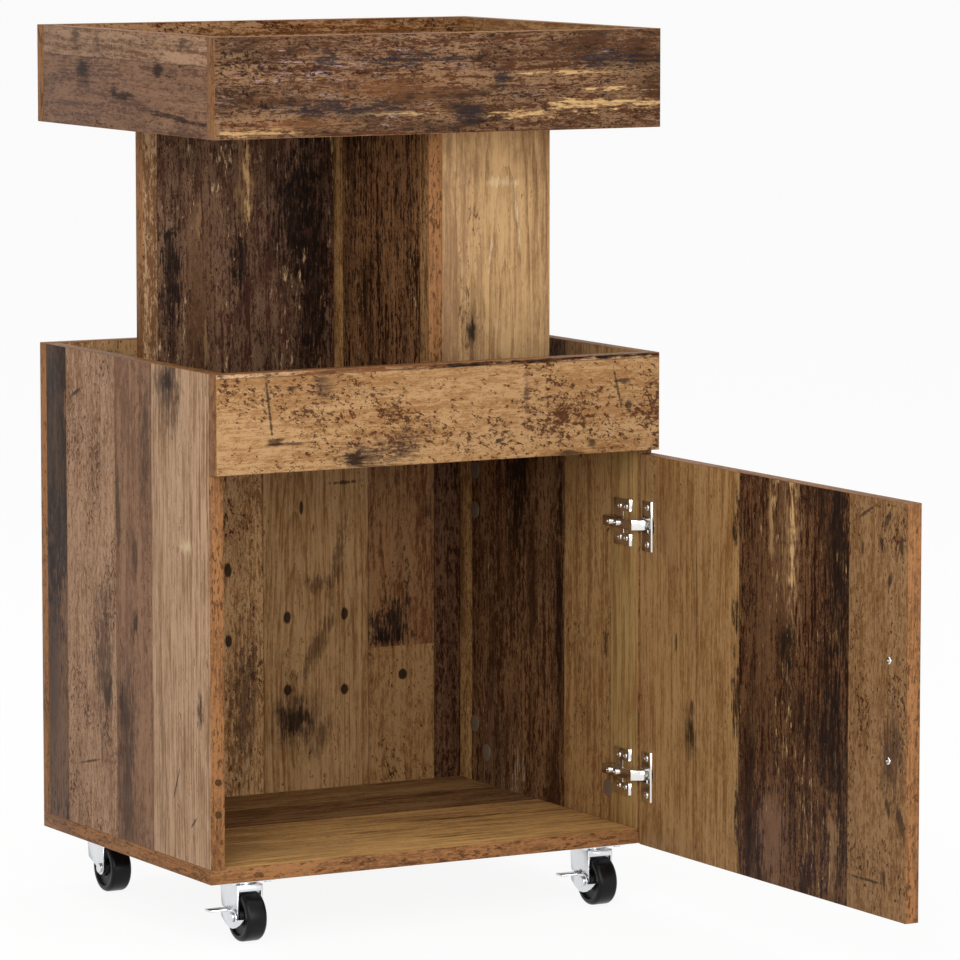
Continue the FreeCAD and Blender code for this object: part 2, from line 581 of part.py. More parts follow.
def make_hinge_cup(label, pin_label, height):
    """Pressed cup with a square nose round the hinge pin, let into the door's inner face."""
    centre_y = f"({DOOR_HINGED} - size.cup_from_edge)"
    centre = (DOOR_INSIDE, centre_y, height)
    mouth = along(centre, "-X", "size.flange_thickness")
    outer = rod(f"{label}_outer", centre, "+X", "size.cup_diameter / 2", "size.cup_depth")
    nose_low = (DOOR_INSIDE, centre_y, f"{height} - size.nose_height / 2")
    nose_high = (f"{DOOR_INSIDE} + size.cup_depth", f"{DOOR_HINGED} - size.nose_end",
                 f"{height} + size.nose_height / 2")
    nose = box(f"{label}_nose", nose_low, nose_high)
    rim = rod(f"{label}_rim", mouth, "+X", "size.cup_diameter / 2 + size.cup_rim", "size.flange_thickness")
    wings = box(
        f"{label}_wings",
        (f"{DOOR_INSIDE} - size.flange_thickness", f"{centre_y} - size.flange_width / 2",
         f"{height} - size.flange_height / 2"),
        (DOOR_INSIDE, f"{centre_y} + size.flange_width / 2", f"{height} + size.flange_height / 2"))
    depth = "size.cup_depth - size.cup_wall + size.flange_thickness"
    inner = rod(f"{label}_inner", mouth, "+X", "size.cup_diameter / 2 - size.cup_wall", depth)
    inner_nose = box(
        f"{label}_inner_nose",
        (f"{DOOR_INSIDE} - size.flange_thickness", centre_y,
         f"{height} - size.nose_height / 2 + size.cup_wall"),
        (f"{DOOR_INSIDE} + size.cup_depth - size.cup_wall", f"{DOOR_HINGED} - size.nose_end - size.cup_wall",
         f"{height} + size.nose_height / 2 - size.cup_wall"))
    pin_start = (PIN_X, PIN_Y, f"({height} - size.nose_height / 2)")
    pin_hole = rod(f"{label}_pin_hole", pin_start, "+Z", snug("size.pin_diameter"), "size.nose_height")
    tools = [inner, inner_nose, pin_hole]
    for row, sign in (("low", "-"), ("high", "+")):
        spot = (DOOR_INSIDE, centre_y, f"({height} {sign} size.cup_screw_spacing / 2)")
        seat = along(spot, "-X", "size.flange_thickness")
        loose = "size.wood_screw / 2 + size.hole_clearance"
        tools.append(rod(f"{label}_{row}_hole", seat, "+X", loose, "size.flange_thickness"))
        drill("door_panel", rod(f"{label}_{row}_pilot", spot, "+X", snug("size.wood_screw"),
                                "size.wood_screw_length - size.flange_thickness"))
        collect("hinge_cup_screws", screw(f"{label}_{row}_screw", seat, "+X", "size.wood_screw",
                                          "size.wood_screw_length", "size.wood_screw_head"))
    node(label, cut(f"{label}_hollow", fuse(f"{label}_blank", [outer, nose, rim, wings]), tools))
    node(pin_label, rod(f"{pin_label}_rod", pin_start, "+Z", "size.pin_diameter / 2", "size.nose_height"))
    round_recess = rod(f"{label}_round_recess", centre, "+X", "size.cup_diameter / 2 + size.cup_clearance",
                       "size.cup_depth + size.cup_clearance")
    grown = "size.nose_height / 2 + size.cup_clearance"
    nose_recess = box(
        f"{label}_nose_recess", (DOOR_INSIDE, centre_y, f"{height} - ({grown})"),
        (f"{DOOR_INSIDE} + size.cup_depth + size.cup_clearance",
         f"{DOOR_HINGED} - size.nose_end + size.cup_clearance", f"{height} + {grown}"))
    drill("door_panel", round_recess)
    drill("door_panel", nose_recess)


def make_hinges():
    """Two concealed hinges on the right wall."""
    heights = {"upper": f"({TRAY} - size.upper_hinge_drop)", "lower": f"({BASE} + size.lower_hinge_height)"}
    for level, height in heights.items():
        make_hinge_plate(f"{level}_hinge_plate", height)
        make_hinge_arm(f"{level}_hinge_arm", height)
        make_hinge_cup(f"{level}_hinge_cup", f"{level}_hinge_pin", height)


def make_handle():
    """Low bow handle on the door's outer face with two screws from the inside."""
    body = new_body("door_handle")
    middle = f"({BASE} + {DOOR_HEIGHT} / 2)"
    y = f"({DOOR_FREE} + size.handle_from_edge)"
    place(body, (DOOR_OUTSIDE, y, middle))
    out = "size.handle_projection"
    inside = f"({out} - size.handle_bar)"
    end = "(size.handle_centres / 2 + size.handle_foot / 2)"
    foot = "(size.handle_centres / 2 - size.handle_foot / 2)"
    bevel = "size.handle_bevel"
    shape = outline(body, "bow", "XZ_Plane", (
        ("0", f"-{end}"), (f"{out} - {bevel}", f"-{end}"), (out, f"-{end} + {bevel}"),
        (out, f"{end} - {bevel}"), (f"{out} - {bevel}", end), ("0", end),
        ("0", foot), (f"{inside} - size.handle_bar", foot), (inside, f"{foot} - size.handle_bar"),
        (inside, f"-{foot} + size.handle_bar"), (f"{inside} - size.handle_bar", f"-{foot}"),
        ("0", f"-{foot}")))
    pad(body, shape, "size.handle_width")
    for name, sign in (("low", "-"), ("high", "+")):
        rise = f"{sign} size.handle_centres / 2"
        hole = circle(body, f"{name}_hole", "YZ_Plane", "0", rise, snug("size.arm_screw"))
        pocket(body, hole, "size.handle_screw_grip", "One side", True)
        spot = (DOOR_INSIDE, y, f"({middle} {rise})")
        loose = "size.arm_screw / 2 + size.hole_clearance"
        drill("door_panel", rod(f"handle_{name}_hole", spot, "+X", loose, "size.board"))
        collect("handle_screws", screw(f"handle_{name}_screw", spot, "+X", "size.arm_screw",
                                       "size.board + size.handle_screw_grip", "size.arm_screw_head"))


def make_bumpers():
    """Two push-in bumpers in the left side's front edge."""
    x = f"({LEFT} + size.board / 2)"
    for name, rise in (("low", "0"), ("high", "size.bumper_pitch")):
        spot = (x, FRONT_INSIDE, f"({BASE} + size.bumper_low + {rise})")
        drill("left_side_panel", rod(f"bumper_{name}_hole", spot, "+Y", snug("size.bumper_stem"),
                                     "size.bumper_stem_length"))
        collect("door_bumpers", screw(f"bumper_{name}", spot, "+Y", "size.bumper_stem",
                                      "size.bumper_stem_length", "size.bumper_head", "size.bumper_height"))


def make_caster_plate(label, x, y):
    """Plate with its ball race, four screws and the king pin."""
    under = "(size.caster_height - size.caster_plate_thickness)"
    half = "size.caster_plate / 2"
    low = (f"{x} - {half}", f"{y} - {half}", under)
    high = (f"{x} + {half}", f"{y} + {half}", BASE)
    blank = box(f"{label}_blank", low, high)
    race = rod(f"{label}_race", (x, y, under), "-Z", "size.race_diameter / 2", "size.race_height")
    tools = [rod(f"{label}_pin_hole", (x, y, BASE), "-Z", snug("size.king_pin"),
                 "size.caster_plate_thickness + size.race_height")]
    for index, (across, back) in enumerate((("-", "-"), ("+", "-"), ("-", "+"), ("+", "+"))):
        spot = (f"({x} {across} size.caster_screw_pitch / 2)",
                f"({y} {back} size.caster_screw_pitch / 2)", under)
        loose = "size.wood_screw / 2 + size.hole_clearance"
        tools.append(rod(f"{label}_hole_{index}", spot, "+Z", loose, "size.caster_plate_thickness"))
        top = along(spot, "+Z", "size.caster_plate_thickness")
        drill("bottom_board", rod(f"{label}_pilot_{index}", top, "+Z", snug("size.wood_screw"),
                                  "size.wood_screw_length - size.caster_plate_thickness"))
        collect("caster_screws", screw(f"{label}_screw_{index}", spot, "+Z", "size.wood_screw",
                                       "size.wood_screw_length", "size.wood_screw_head"))
    node(label, cut(f"{label}_drilled", fuse(f"{label}_pressed", [blank, race]), tools))
    stack = "size.caster_plate_thickness + size.race_height + 2 * size.swivel_gap + size.fork_sheet"
    pin = rod(f"{label}_king_shank", (x, y, BASE), "-Z", "size.king_pin / 2", stack)
    head = rod(f"{label}_king_head", along((x, y, BASE), "-Z", stack), "-Z", "size.king_pin_head / 2",
               "size.head_height")
    collect("caster_king_pins", fuse(f"{label}_king_pin", [pin, head]))


FORK_TOP = "(-(size.caster_plate_thickness + size.race_height + size.swivel_gap))"
TREAD_TOP = f"({FORK_TOP} - size.fork_sheet - size.swivel_gap - size.head_height - size.tread_to_pin)"
WHEEL_RADIUS = f"((size.caster_height + {TREAD_TOP}) / 2)"
FORK_INSIDE = "(size.wheel_width / 2 + size.wheel_to_leg)"
FORK_OUTSIDE = f"({FORK_INSIDE} + size.fork_sheet)"
AXLE_DROP = f"({WHEEL_RADIUS} - size.caster_height)"


def make_fork(label, x, y):
    """Pressed fork: a top with a front lip and two tapering legs."""
    body = new_body(label)
    place(body, (x, y, BASE))
    front = "(-size.trail - size.fork_front)"
    back = "size.fork_back"
    shape = outline(body, "side", "YZ_Plane", (
        (front, FORK_TOP), (back, FORK_TOP), (back, f"{FORK_TOP} - size.fork_back_drop"),
        ("-size.trail + size.fork_leg", AXLE_DROP), (front, AXLE_DROP)))
    pad(body, shape, f"2 * {FORK_OUTSIDE}")
    leg_end = circle(body, "leg_end", "YZ_Plane", "-size.trail", AXLE_DROP, "size.fork_front")
    pad(body, leg_end, f"2 * {FORK_OUTSIDE}")
    lip = f"({TREAD_TOP} + size.lip_clearance)"
    low = f"({AXLE_DROP} - size.fork_front - size.fork_sheet)"
    slot = outline(body, "slot", "XZ_Plane", (
        (f"-{FORK_INSIDE}", lip), (FORK_INSIDE, lip), (FORK_INSIDE, low), (f"-{FORK_INSIDE}", low)))
    pocket(body, slot)
    ceiling = f"({FORK_TOP} - size.fork_sheet)"
    hollow = outline(body, "hollow", "YZ_Plane", (
        (f"{front} + size.fork_sheet", ceiling), (f"{back} + size.fork_sheet", ceiling),
        (f"{back} + size.fork_sheet", f"{lip} - size.fork_sheet"),
        (f"{front} + size.fork_sheet", f"{lip} - size.fork_sheet")))
    pocket(body, hollow, f"2 * {FORK_INSIDE}")
    pocket(body, circle(body, "axle_hole", "YZ_Plane", "-size.trail", AXLE_DROP, snug("size.axle")))
    loose = "size.king_pin / 2 + size.running_clearance"
    pocket(body, circle(body, "king_hole", "XY_Plane", "0", "0", loose))


def make_axle(label, x, y, braked):
    """Riveted axle across the fork, longer on the left where it carries the brake lever."""
    lever = " + size.lever_sheet + 2 * size.lever_gap" if braked else ""
    left = f"({FORK_OUTSIDE}{lever})"
    start = (f"({x} - {left})", f"({y} - size.trail)", WHEEL_RADIUS)
    length = f"({left} + {FORK_OUTSIDE})"
    shank = rod(f"{label}_shank", start, "+X", "size.axle / 2", length)
    left_head = rod(f"{label}_left_head", start, "-X", "size.axle_head / 2", "size.axle_head_height")
    right_head = rod(f"{label}_right_head", along(start, "+X", length), "+X", "size.axle_head / 2",
                     "size.axle_head_height")
    node(label, fuse(f"{label}_riveted", [shank, left_head, right_head]))


def make_wheel(label, x, y):
    """Wheel with a rounded tread, hollowed sides and a hub on the axle."""
    body = new_body(label)
    place(body, (x, f"{y} - size.trail", WHEEL_RADIUS))
    bore = "size.axle / 2 + size.running_clearance"
    half = "size.wheel_width / 2"
    hub = f"({FORK_INSIDE} - size.wheel_play)"
    web = f"({half} - size.wheel_hollow)"
    rim = f"({WHEEL_RADIUS} - size.tread_depth)"
    right = [(hub, bore), (hub, "size.wheel_hub"), (web, "size.wheel_hub"), (web, rim),
             (half, rim), (half, WHEEL_RADIUS)]
    left = [(f"-{across}", up) for across, up in reversed(right)]
    profile = outline(body, "profile", "XY_Plane", right + left)
    turned = body.newObject("PartDesign::Revolution", f"{label}_turned")
    turned.Profile = profile
    turned.ReferenceAxis = (profile, ["H_Axis"])
    turned.Angle = 360
    document.recompute()
    tread = float(sheet.evalExpression(WHEEL_RADIUS))
    shoulders = []
    for index, edge in enumerate(turned.Shape.Edges, start=1):
        if edge.Curve.TypeId == "Part::GeomCircle" and abs(edge.Curve.Radius - tread) < 1e-6:
            shoulders.append(f"Edge{index}")
    rounding = body.newObject("PartDesign::Fillet", f"{label}_shoulders")
    rounding.Base = (turned, shoulders)
    bind(rounding, Radius="size.wheel_shoulder")
    document.recompute()


def make_brake_lever(label, x, y):
    """Lever on the left end of the axle: a shoe in front and below, a pedal behind, turned outwards."""
    body = new_body(label)
    place(body, (f"{x} - {FORK_OUTSIDE} - size.lever_gap", f"{y} - size.trail", WHEEL_RADIUS))
    sheet_thickness = "size.lever_sheet"
    pad(body, circle(body, "hub", "YZ_Plane", "0", "0", "size.lever_hub"), sheet_thickness, "One side", True)
    plate = outline(body, "plate", "YZ_Plane", (
        ("-size.shoe_reach", "size.shoe_rise"), ("-2 / 3 * size.shoe_reach", "-size.shoe_drop / 2"),
        ("-size.shoe_reach / 3", "-5 / 6 * size.shoe_drop"), ("0", "-size.shoe_drop"),
        ("size.lever_hub", "-size.shoe_drop"), ("(size.lever_hub + size.pedal_back) / 2", "-size.heel_drop"),
        ("size.pedal_back", "-size.lever_sheet"), ("size.pedal_back", "size.pedal_rise"),
        ("0", "size.pedal_rise"), ("-size.lever_hub", "-size.lever_sheet")))
    pad(body, plate, sheet_thickness, "One side", True)
    pedal = outline(body, "pedal", "YZ_Plane", (
        ("size.pedal_front", "size.pedal_rise - size.lever_sheet"),
        ("size.pedal_back", "size.pedal_rise - size.lever_sheet"),
        ("size.pedal_back", "size.pedal_rise"), ("size.pedal_front", "size.pedal_rise")))
    pad(body, pedal, "size.lever_sheet + size.pedal_length", "One side", True)
    pocket(body, circle(body, "bore", "YZ_Plane", "0", "0", "size.axle / 2 + size.running_clearance"))


def make_casters():
    """Four swivel casters, the front two with a brake."""
    ends = (("front", f"({FRONT} + size.caster_end_inset)"), ("rear", f"({BACK} - size.caster_end_inset)"))
    sides = (("left", f"({LEFT} + size.caster_side_inset)"), ("right", f"({RIGHT} - size.caster_side_inset)"))
    for end, y in ends:
        for side, x in sides:
            caster = f"{end}_{side}_caster"
            braked = end == "front"
            make_caster_plate(f"{caster}_plate", x, y)
            make_fork(f"{caster}_fork", x, y)
            make_axle(f"{caster}_axle", x, y, braked)
            make_wheel(f"{caster}_wheel", x, y)
            if braked:
                make_brake_lever(f"{caster}_brake_lever", x, y)


def finish_boards():
    """Drill every board."""
    for label, blank in blanks.items():
        node(label, cut(f"{label}_drilled", blank, holes[label]))


def finish_groups():
    """Gather like fasteners, each a solid of its own."""
    for label, members in groups.items():
        item = document.addObject("Part::Compound", f"{label}_group")
        item.Links = members
        node(label, item)


def check():
    """Stop on any failed feature, empty shape or wrong number of solids."""
    document.recompute()
    for item in document.Objects:
        if "Invalid" in item.State or "Error" in item.State:
            raise RuntimeError(f"{item.Name} failed: {item.State}")
    for label, item in nodes.items():
        shape = item.Shape
        wanted = len(groups.get(label, [None]))
        if shape.isNull() or not shape.isValid():
            raise RuntimeError(f"{label} has no valid shape")
        if len(shape.Solids) != wanted:
            raise RuntimeError(f"{label} has {len(shape.Solids)} solids, not {wanted}")


def export():
    """Write one file for each sub-part."""
    os.makedirs("parts", exist_ok=True)
    for label, item in nodes.items():
        item.Shape.exportStep(f"parts/{label}.step")
    print(f"{len(nodes)} sub-parts written")


make_blanks()
make_cam_joints()
make_dowels()
make_column_screws()
make_hinges()
make_handle()
make_bumpers()
make_casters()
finish_boards()
finish_groups()
check()
export()
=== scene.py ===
import json
import math

import bmesh
import bpy
from mathutils import Color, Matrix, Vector

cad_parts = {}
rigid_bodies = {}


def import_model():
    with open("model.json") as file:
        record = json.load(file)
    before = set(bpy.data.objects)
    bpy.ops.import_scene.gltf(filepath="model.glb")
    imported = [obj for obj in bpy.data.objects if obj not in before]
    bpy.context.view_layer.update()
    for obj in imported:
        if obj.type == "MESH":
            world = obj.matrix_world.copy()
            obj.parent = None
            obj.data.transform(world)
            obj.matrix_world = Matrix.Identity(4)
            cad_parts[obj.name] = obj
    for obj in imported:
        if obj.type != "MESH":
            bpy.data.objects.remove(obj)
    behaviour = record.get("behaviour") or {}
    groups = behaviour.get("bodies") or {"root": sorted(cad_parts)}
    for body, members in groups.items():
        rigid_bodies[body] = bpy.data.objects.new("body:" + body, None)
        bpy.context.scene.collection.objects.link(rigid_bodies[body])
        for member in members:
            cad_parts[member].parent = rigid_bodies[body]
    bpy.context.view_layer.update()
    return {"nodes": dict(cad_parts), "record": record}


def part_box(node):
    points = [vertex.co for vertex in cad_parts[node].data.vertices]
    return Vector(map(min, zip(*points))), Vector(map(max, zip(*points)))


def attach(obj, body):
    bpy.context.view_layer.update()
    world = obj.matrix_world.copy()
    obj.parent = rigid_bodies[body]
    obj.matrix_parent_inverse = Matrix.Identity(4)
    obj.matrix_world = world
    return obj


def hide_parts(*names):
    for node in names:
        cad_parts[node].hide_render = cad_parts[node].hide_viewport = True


bl_info = {
    "name": "Serving cart",
    "version": (1, 0, 0),
    "blender": (4, 5, 0),
    "location": "View3D > Sidebar > Serving cart",
    "description": "Dresses the serving cart: laminated boards, hinges, casters and the studio around them",
    "category": "Object",
}

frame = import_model()
MM = 0.001
SIDES = {"X": 0, "Y": 1, "Z": 2}

# How planks lie: the face of the board that shows them, the axis across them, and the turn that brings their grain
# to X and their width to Y
LIES = {
    "X_up": ("-X", "Y", (0, 90, 0)),
    "Y_up": ("-Y", "X", (90, 0, 90)),
    "X_level": ("-X", "Z", (-90, -90, 0)),
    "Y_level": ("-Y", "Z", (-90, 0, 0)),
    "Z_level": ("+Z", "Y", (0, 0, 0)),
}

# How strong the features of the print are where a plank doesn't say; the gap between rings is in millimetres
FEATURES = dict(rings=0, burning=0, flecks=0, cracks=0.15, strokes=0, scratches=0, contrast=0.95, ring_gap=5.5)


def plank(tones, width, seed, grain, specks, marks="", **features):
    """Row of a plank: tones (light, dark, burnt and, where they aren't light, flecks), its limits across the grain,
    seed of the noise, grain and specks, marks and features that differ, with all lengths in millimetres."""
    return {**FEATURES, "tones": tones.split(), "width": width, "seed": seed, "grain": grain, "specks": specks,
            "dashes": specks, "marks": [mark.split() for mark in marks.split(", ") if mark], **features}


# Marks of a plank: kind, place along the grain, place across it, half length, half width and, where it slants, its
# turn. Limits are given where a plank's part of the board isn't its width.
PLANKS = {
    "side_charcoal": plank(
        "594132 251f1c 241c19 9b7b5c", (140.3, 187.5), 3.1, 0.4, 0.2,
        "tan 165 164 130 42, tan 300 146 26 9, smoke 220 176 90 14, tan 505 141 14 5",
        burning=0.5, flecks=0.1),
    "side_speckled": plank(
        "af8c6f 7c573c 4a2d19", (24.4, 140.3), 5.4, 0.4, 0.6,
        "knot 222 44 22 11, smoke 258 54 70 24, stroke 523 116 1.8 20 22, stroke 148 86 1.4 26 12, "
        "stroke 160 60 14 1.4",
        burning=0.04, strokes=0.6, contrast=0.55),
    "side_brown": plank(
        "916e54 6f4e3a 472818", (-58.3, 24.4), 8.2, 0.6, 0.34,
        "knot 215 10 24 10, knot 302 -20 12 5, smoke 490 -45 60 14, smoke 420 20 50 7, smoke 130 2 80 20, "
        "smoke 200 2 60 18, smoke 370 -18 26 6",
        burning=0.2, cracks=0.6, strokes=0.15, contrast=1.25),
    "side_beige": plank(
        "b99779 836245 452a1c", (-187.5, -58.3), 11.7, 0.75, 0.1,
        "smoke 540 -98 40 26, smoke 556 -92 16 26, knot 550 -92 11 9, knot 232 -165 20 6, pale 392 -135 7 12, "
        "stroke 155 -112 16 1.6 -24, stroke 120 -150 10 1.6 -50",
        rings=0.3, cracks=0.2, contrast=0.75),
    "tray_left_upper": plank(
        "a9866a 6c4d38 2a1b17", (864, 893), 14.3, 0.35, 0.34,
        "smoke 110 880 10 16, smoke -140 884 18 8, smoke 60 882 8 10",
        burning=0.05, strokes=0.3),
    "tray_left_lower": plank(
        "8f6b53 593f31 261a16", (794, 864), 17.9, 0.4, 0.34,
        "smoke 92 852 18 20, knot 92 849 13 11, smoke -78 857 12 14, knot -78 857 9 7, knot 0 828 26 4, "
        "knot 22 832 7 8, knot -110 812 70 3 4",
        burning=0.1, strokes=0.25),
    "tray_front": plank(
        "8a694c 4f301d 210f07 9e827c", (794, 893), 21.2, 0.9, 0.66,
        "gold 175 820 62 3.4, gold 110 811 50 2.6, gold -205 800 40 2.4, gold -60 815 40 1.8, gold 150 851 40 1.6, "
        "gold 200 834 35 1.8, orange -60 838 60 14, orange -170 806 70 8, blue_char 28 814 17 9, "
        "blue_char 66 846 9 12, blue_char -110 822 60 9, blue_char -130 868 14 10, blue_char 190 862 40 8, "
        "blue_char -30 868 40 6",
        dashes=0.8, burning=0.5, flecks=0.3, cracks=0.5, scratches=0.5, contrast=1.3, limits=dict(X=(-250, 250))),
    "tray_back_inside": plank(
        "a57d58 663d1a 321107 f3c57e", (809, 893), 23.6, 0.7, 0.7, burning=0.2, flecks=0.2,
        limits=dict(X=(-250, 250))),
    "tray_right_inside": plank(
        "ab8455 794e29 221507", (809, 893), 24.8, 0.7, 0.45, burning=0.1, limits=dict(Y=(-187.5, 187.5))),
    "lower_front": plank(
        "b58f64 946a41 421f0f", (460, 562.5), 27.5, 0.5, 0.68,
        "smoke -84 477 34 16, knot -98 476 13 7, smoke -40 486 16 18, stroke -168 496 26 1.6, stroke -186 498 9 4, "
        "stroke -192 530 1.4 30 7, stroke 201 533 1.6 25 13, stroke 208 540 8 3, stroke 214 514 4 6, "
        "stroke 66 487 7 2 20, smoke -132 548 12 14, stroke -168 549 7 3, stroke 145 470 16 3, stroke 172 478 5 5, "
        "smoke 96 530 3 20",
        dashes=0.45, strokes=0.42, cracks=0, contrast=0.85, limits=dict(Z=(468, 562.5))),
    "lower_front_top": plank(
        "caa47d 714627 3c1f0f", (562.5, 567), 29, 0.7, 0.3,
        "char 30 565 75 2.2, char 120 565 75 2.2, char 205 565 60 2.2",
        burning=0.5),
    "column_strip": plank(
        "ba956f 6d4b30 281307", (-182, -165), 31.3, 0.6, 0.45, burning=0.08),
    "column_dark": plank(
        "795c46 46291f 251109 d0b284", (-165, 38), 34.8, 0.7, 0.5,
        "char 640 14 170 20, char 700 -8 60 24, pale_brown 740 -64 46 8, gold 745 -62 42 2.6, brown 620 -120 80 16, "
        "char 640 -150 60 12, char 648 -72 30 9, pale_brown 515 22 22 10, pale_brown 690 -118 24 3, "
        "pale_brown 560 -110 20 3",
        dashes=0.45, burning=0.46, flecks=0.34, scratches=0.3, contrast=1.2),
    "column_middle_strip": plank(
        "cd9e67 7c5429 3a2110", (79.5, 99.5), 36.1, 0.6, 0.5, burning=0.05, limits=dict(Y=(79.5, 114.5))),
    "column_middle_dark": plank(
        "916743 2b1309 130707 e9cca1", (-85.7, 79.5), 39.9, 0.9, 0.3, dashes=0.7, burning=0.34, flecks=0.36,
        cracks=0.7, contrast=1.25),
    "column_middle_front": plank(
        "a47c4f 5f3f26 3d210b", (-105, -85.7), 41.2, 0.7, 0.4, burning=0.15),
    "column_right": plank(
        "c39d6e 7f5c3c 503422", (53, 178), 43.7, 0.4, 0.1,
        "rosy 640 58 170 13, rosy 700 76 70 8, halo 588 87 26 9, core 586 87 14 6, pale 737 122 4 17, "
        "rosy 752 90 14 8, pale 700 140 26 1.6 -6, pale 655 108 20 1.4 5, rosy 640 96 60 3",
        rings=0.42, cracks=0.2, contrast=0.6, rings_at=(560, 126), ring_gap=10),
    "back_olive": plank(
        "bc9568 7f5833 3b1607", (-235, -1.3), 46.6, 0.6, 0.55,
        "nail 319 -42.5 8 4.5, nail 244 -42.5 7 4.5, smoke 175 -24 80 14",
        burning=0.1, strokes=0.15, limits=dict(X=(-250, -1.3))),
    "back_pale": plank(
        "ad895f 78532d 2e1207", (-1.3, 123.8), 49.4, 0.75, 0.14,
        "halo 152 37 38 38, core 154 35 22 22, halo 130 66 24 9 20, stain 322 88 48 6 12, stain 298 64 9 14, "
        "stain 228 61 40 8 27, nail 264 27 7 4.5, nail 264 95 7 4.5, nail 187 27 6 5, nail 183 95 6 5, "
        "nail 380 44 8 2.5, stroke 404 95 2 16",
        rings=0.4, cracks=0.3, contrast=0.65, rings_at=(154, 36)),
    "back_red": plank(
        "916b47 603920 070707", (123.8, 203.6), 52.1, 0.7, 0.34,
        "char 246 134 18 9, char 252 156 28 15, char 234 150 8 27, stain 405 158 10 3, stain 370 195 14 8",
        burning=0.06, limits=dict(X=(123.8, 203.6), Z=(225, 567))),
    "back_tan": plank(
        "a27d53 77532f 3d2008", (123.8, 203.6), 55.9, 0.6, 0.42,
        "nail 194 165 6 5.5",
        rings=0.2, contrast=0.75, limits=dict(X=(123.8, 203.6), Z=(78, 225))),
    "back_dark": plank(
        "684933 30170b 110707", (203.6, 235), 58.3, 0.8, 0.4, dashes=0.7, burning=0.3, contrast=1,
        limits=dict(X=(203.6, 250))),
    "wall_strip": plank(
        "d3aa70 90683f 452b14", (160.6, 187.5), 61.7, 0.5, 0.55, burning=0.1),
    "wall_dark": plank(
        "886545 402414 241007 b0967b", (-37, 160.6), 64.2, 0.9, 0.3,
        "tan 130 120 60 8, char 420 60 90 20, char 330 -25 130 8",
        dashes=0.7, burning=0.34, flecks=0.2, contrast=1.25),
    "wall_gold": plank(
        "ac8858 805835 371907", (-132, -37), 67.8, 0.7, 0.38,
        "knot 262 -122 18 4, nail 455 -70 8 3",
        rings=0.25),
    "wall_gold_front": plank(
        "a68755 84603a 543417", (-187.5, -132), 70.5, 0.7, 0.08, rings=0.4),
    "door_gold": plank(
        "a98457 7e5730 391d0c", (-382.1, -190.5), 73.6, 0.6, 0.26,
        "halo 192 -289 30 12, core 190 -290.6 18 7, stroke 216 -292 10 3, pale_gold 390 -250 30 16, "
        "char 411 -378 30 7, char 320 -377 16 8, char 240 -378 34 9, char 120 -380 30 5, stroke 280 -262 8 2.5, "
        "stain 263 -301 200 0.9, pale_gold 80 -275 22 14, pale_gold 345 -215 24 14",
        rings=0.25, strokes=0.15, contrast=0.8),
    "door_dark": plank(
        "6d4b30 270e06 0b0606 bd9b6b", (-581.3, -382.1), 76.9, 0.8, 0.4,
        "brown 385 -462 85 32, tan 110 -445 50 22, char 400 -563 130 18, char 230 -552 60 26, "
        "pale_brown 405 -478 75 14, gold 415 -480 60 4, gold 420 -441 40 3, brown 330 -430 110 22, "
        "char 300 -470 26 14, char 120 -566 60 10, pale_brown 118 -556 30 10",
        dashes=0.5, burning=0.42, flecks=0.36, scratches=0.2, contrast=1.25),
    "door_speckled": plank(
        "94714e 6f4d2c 351807", (-683.5, -581.3), 80.4, 0.4, 0.58,
        "smoke 222 -658 44 18, stroke 160 -673 18 6 25, stroke 448 -610 1.8 20 26, stroke 95 -615 1.4 34, "
        "stroke 445 -648 10 4 -30, stroke 422 -672 10 4, stroke 420 -639 8 4 20, stroke 412 -604 10 3, "
        "stroke 388 -652 9 4 -20, stroke 170 -652 12 4 15, stroke 99 -646 10 4",
        strokes=0.45, cracks=0.3, contrast=0.85),
    "floor_back": plank(
        "b79261 785737 3d2711", (110, 187.5), 83.3, 0.7, 0.2, limits=dict(Y=(110, 202.5))),
    "floor_dark": plank(
        "9e7952 633f21 200b07", (20, 110), 86.2, 0.8, 0.2, burning=0.2),
    # floor_front: its broad pale_gold mark at the front left is painted light, a pool of light on the cabinet floor,
    # though its golden tone is no brighter than the plank's light tone
    "floor_front": plank(
        "d8a869 8d6940 4a2f16", (-187.5, 20), 89.5, 0.6, 0.12,
        "pale_gold -140 -120 110 45, stain -20 -70 24 3, stain 120 -40 60 5, stain 60 -130 30 2.5",
        rings=0.2, contrast=0.7, limits=dict(Y=(-186, 20))),
}

# Kinds of marks: colour, softness, raggedness, strength
MARKS = {
    "knot": ("2b1c13", 0.6, 0.7, 0.9),
    "core": ("1f130c", 0.7, 0.6, 0.92),
    "halo": ("4a3422", 0.9, 0.55, 0.7),
    "nail": ("21140b", 0.25, 0.12, 0.95),
    "stroke": ("33251d", 0.5, 0.6, 0.85),
    "smoke": ("453226", 0.8, 0.9, 0.8),
    "stain": ("40291a", 0.6, 0.9, 0.7),
    "char": ("1c120d", 0.6, 1.1, 0.95),
    "blue_char": ("262023", 0.6, 1.5, 0.85),
    "tan": ("7d5d47", 0.6, 1.1, 0.8),
    "brown": ("66482f", 0.7, 1.2, 0.65),
    "pale": ("d8bf98", 0.8, 1.2, 0.6),
    "rosy": ("8d6b4f", 0.7, 1.0, 0.6),
    "pale_brown": ("8f6d4c", 0.6, 1.5, 0.8),
    # pale_gold is print on the door, and a painted pool of light on the floor's front plank
    "pale_gold": ("a98457", 0.8, 0.8, 0.5),
    "gold": ("d2aa74", 0.8, 2.0, 0.85),
    "orange": ("8f5f38", 0.8, 1.2, 0.4),
}

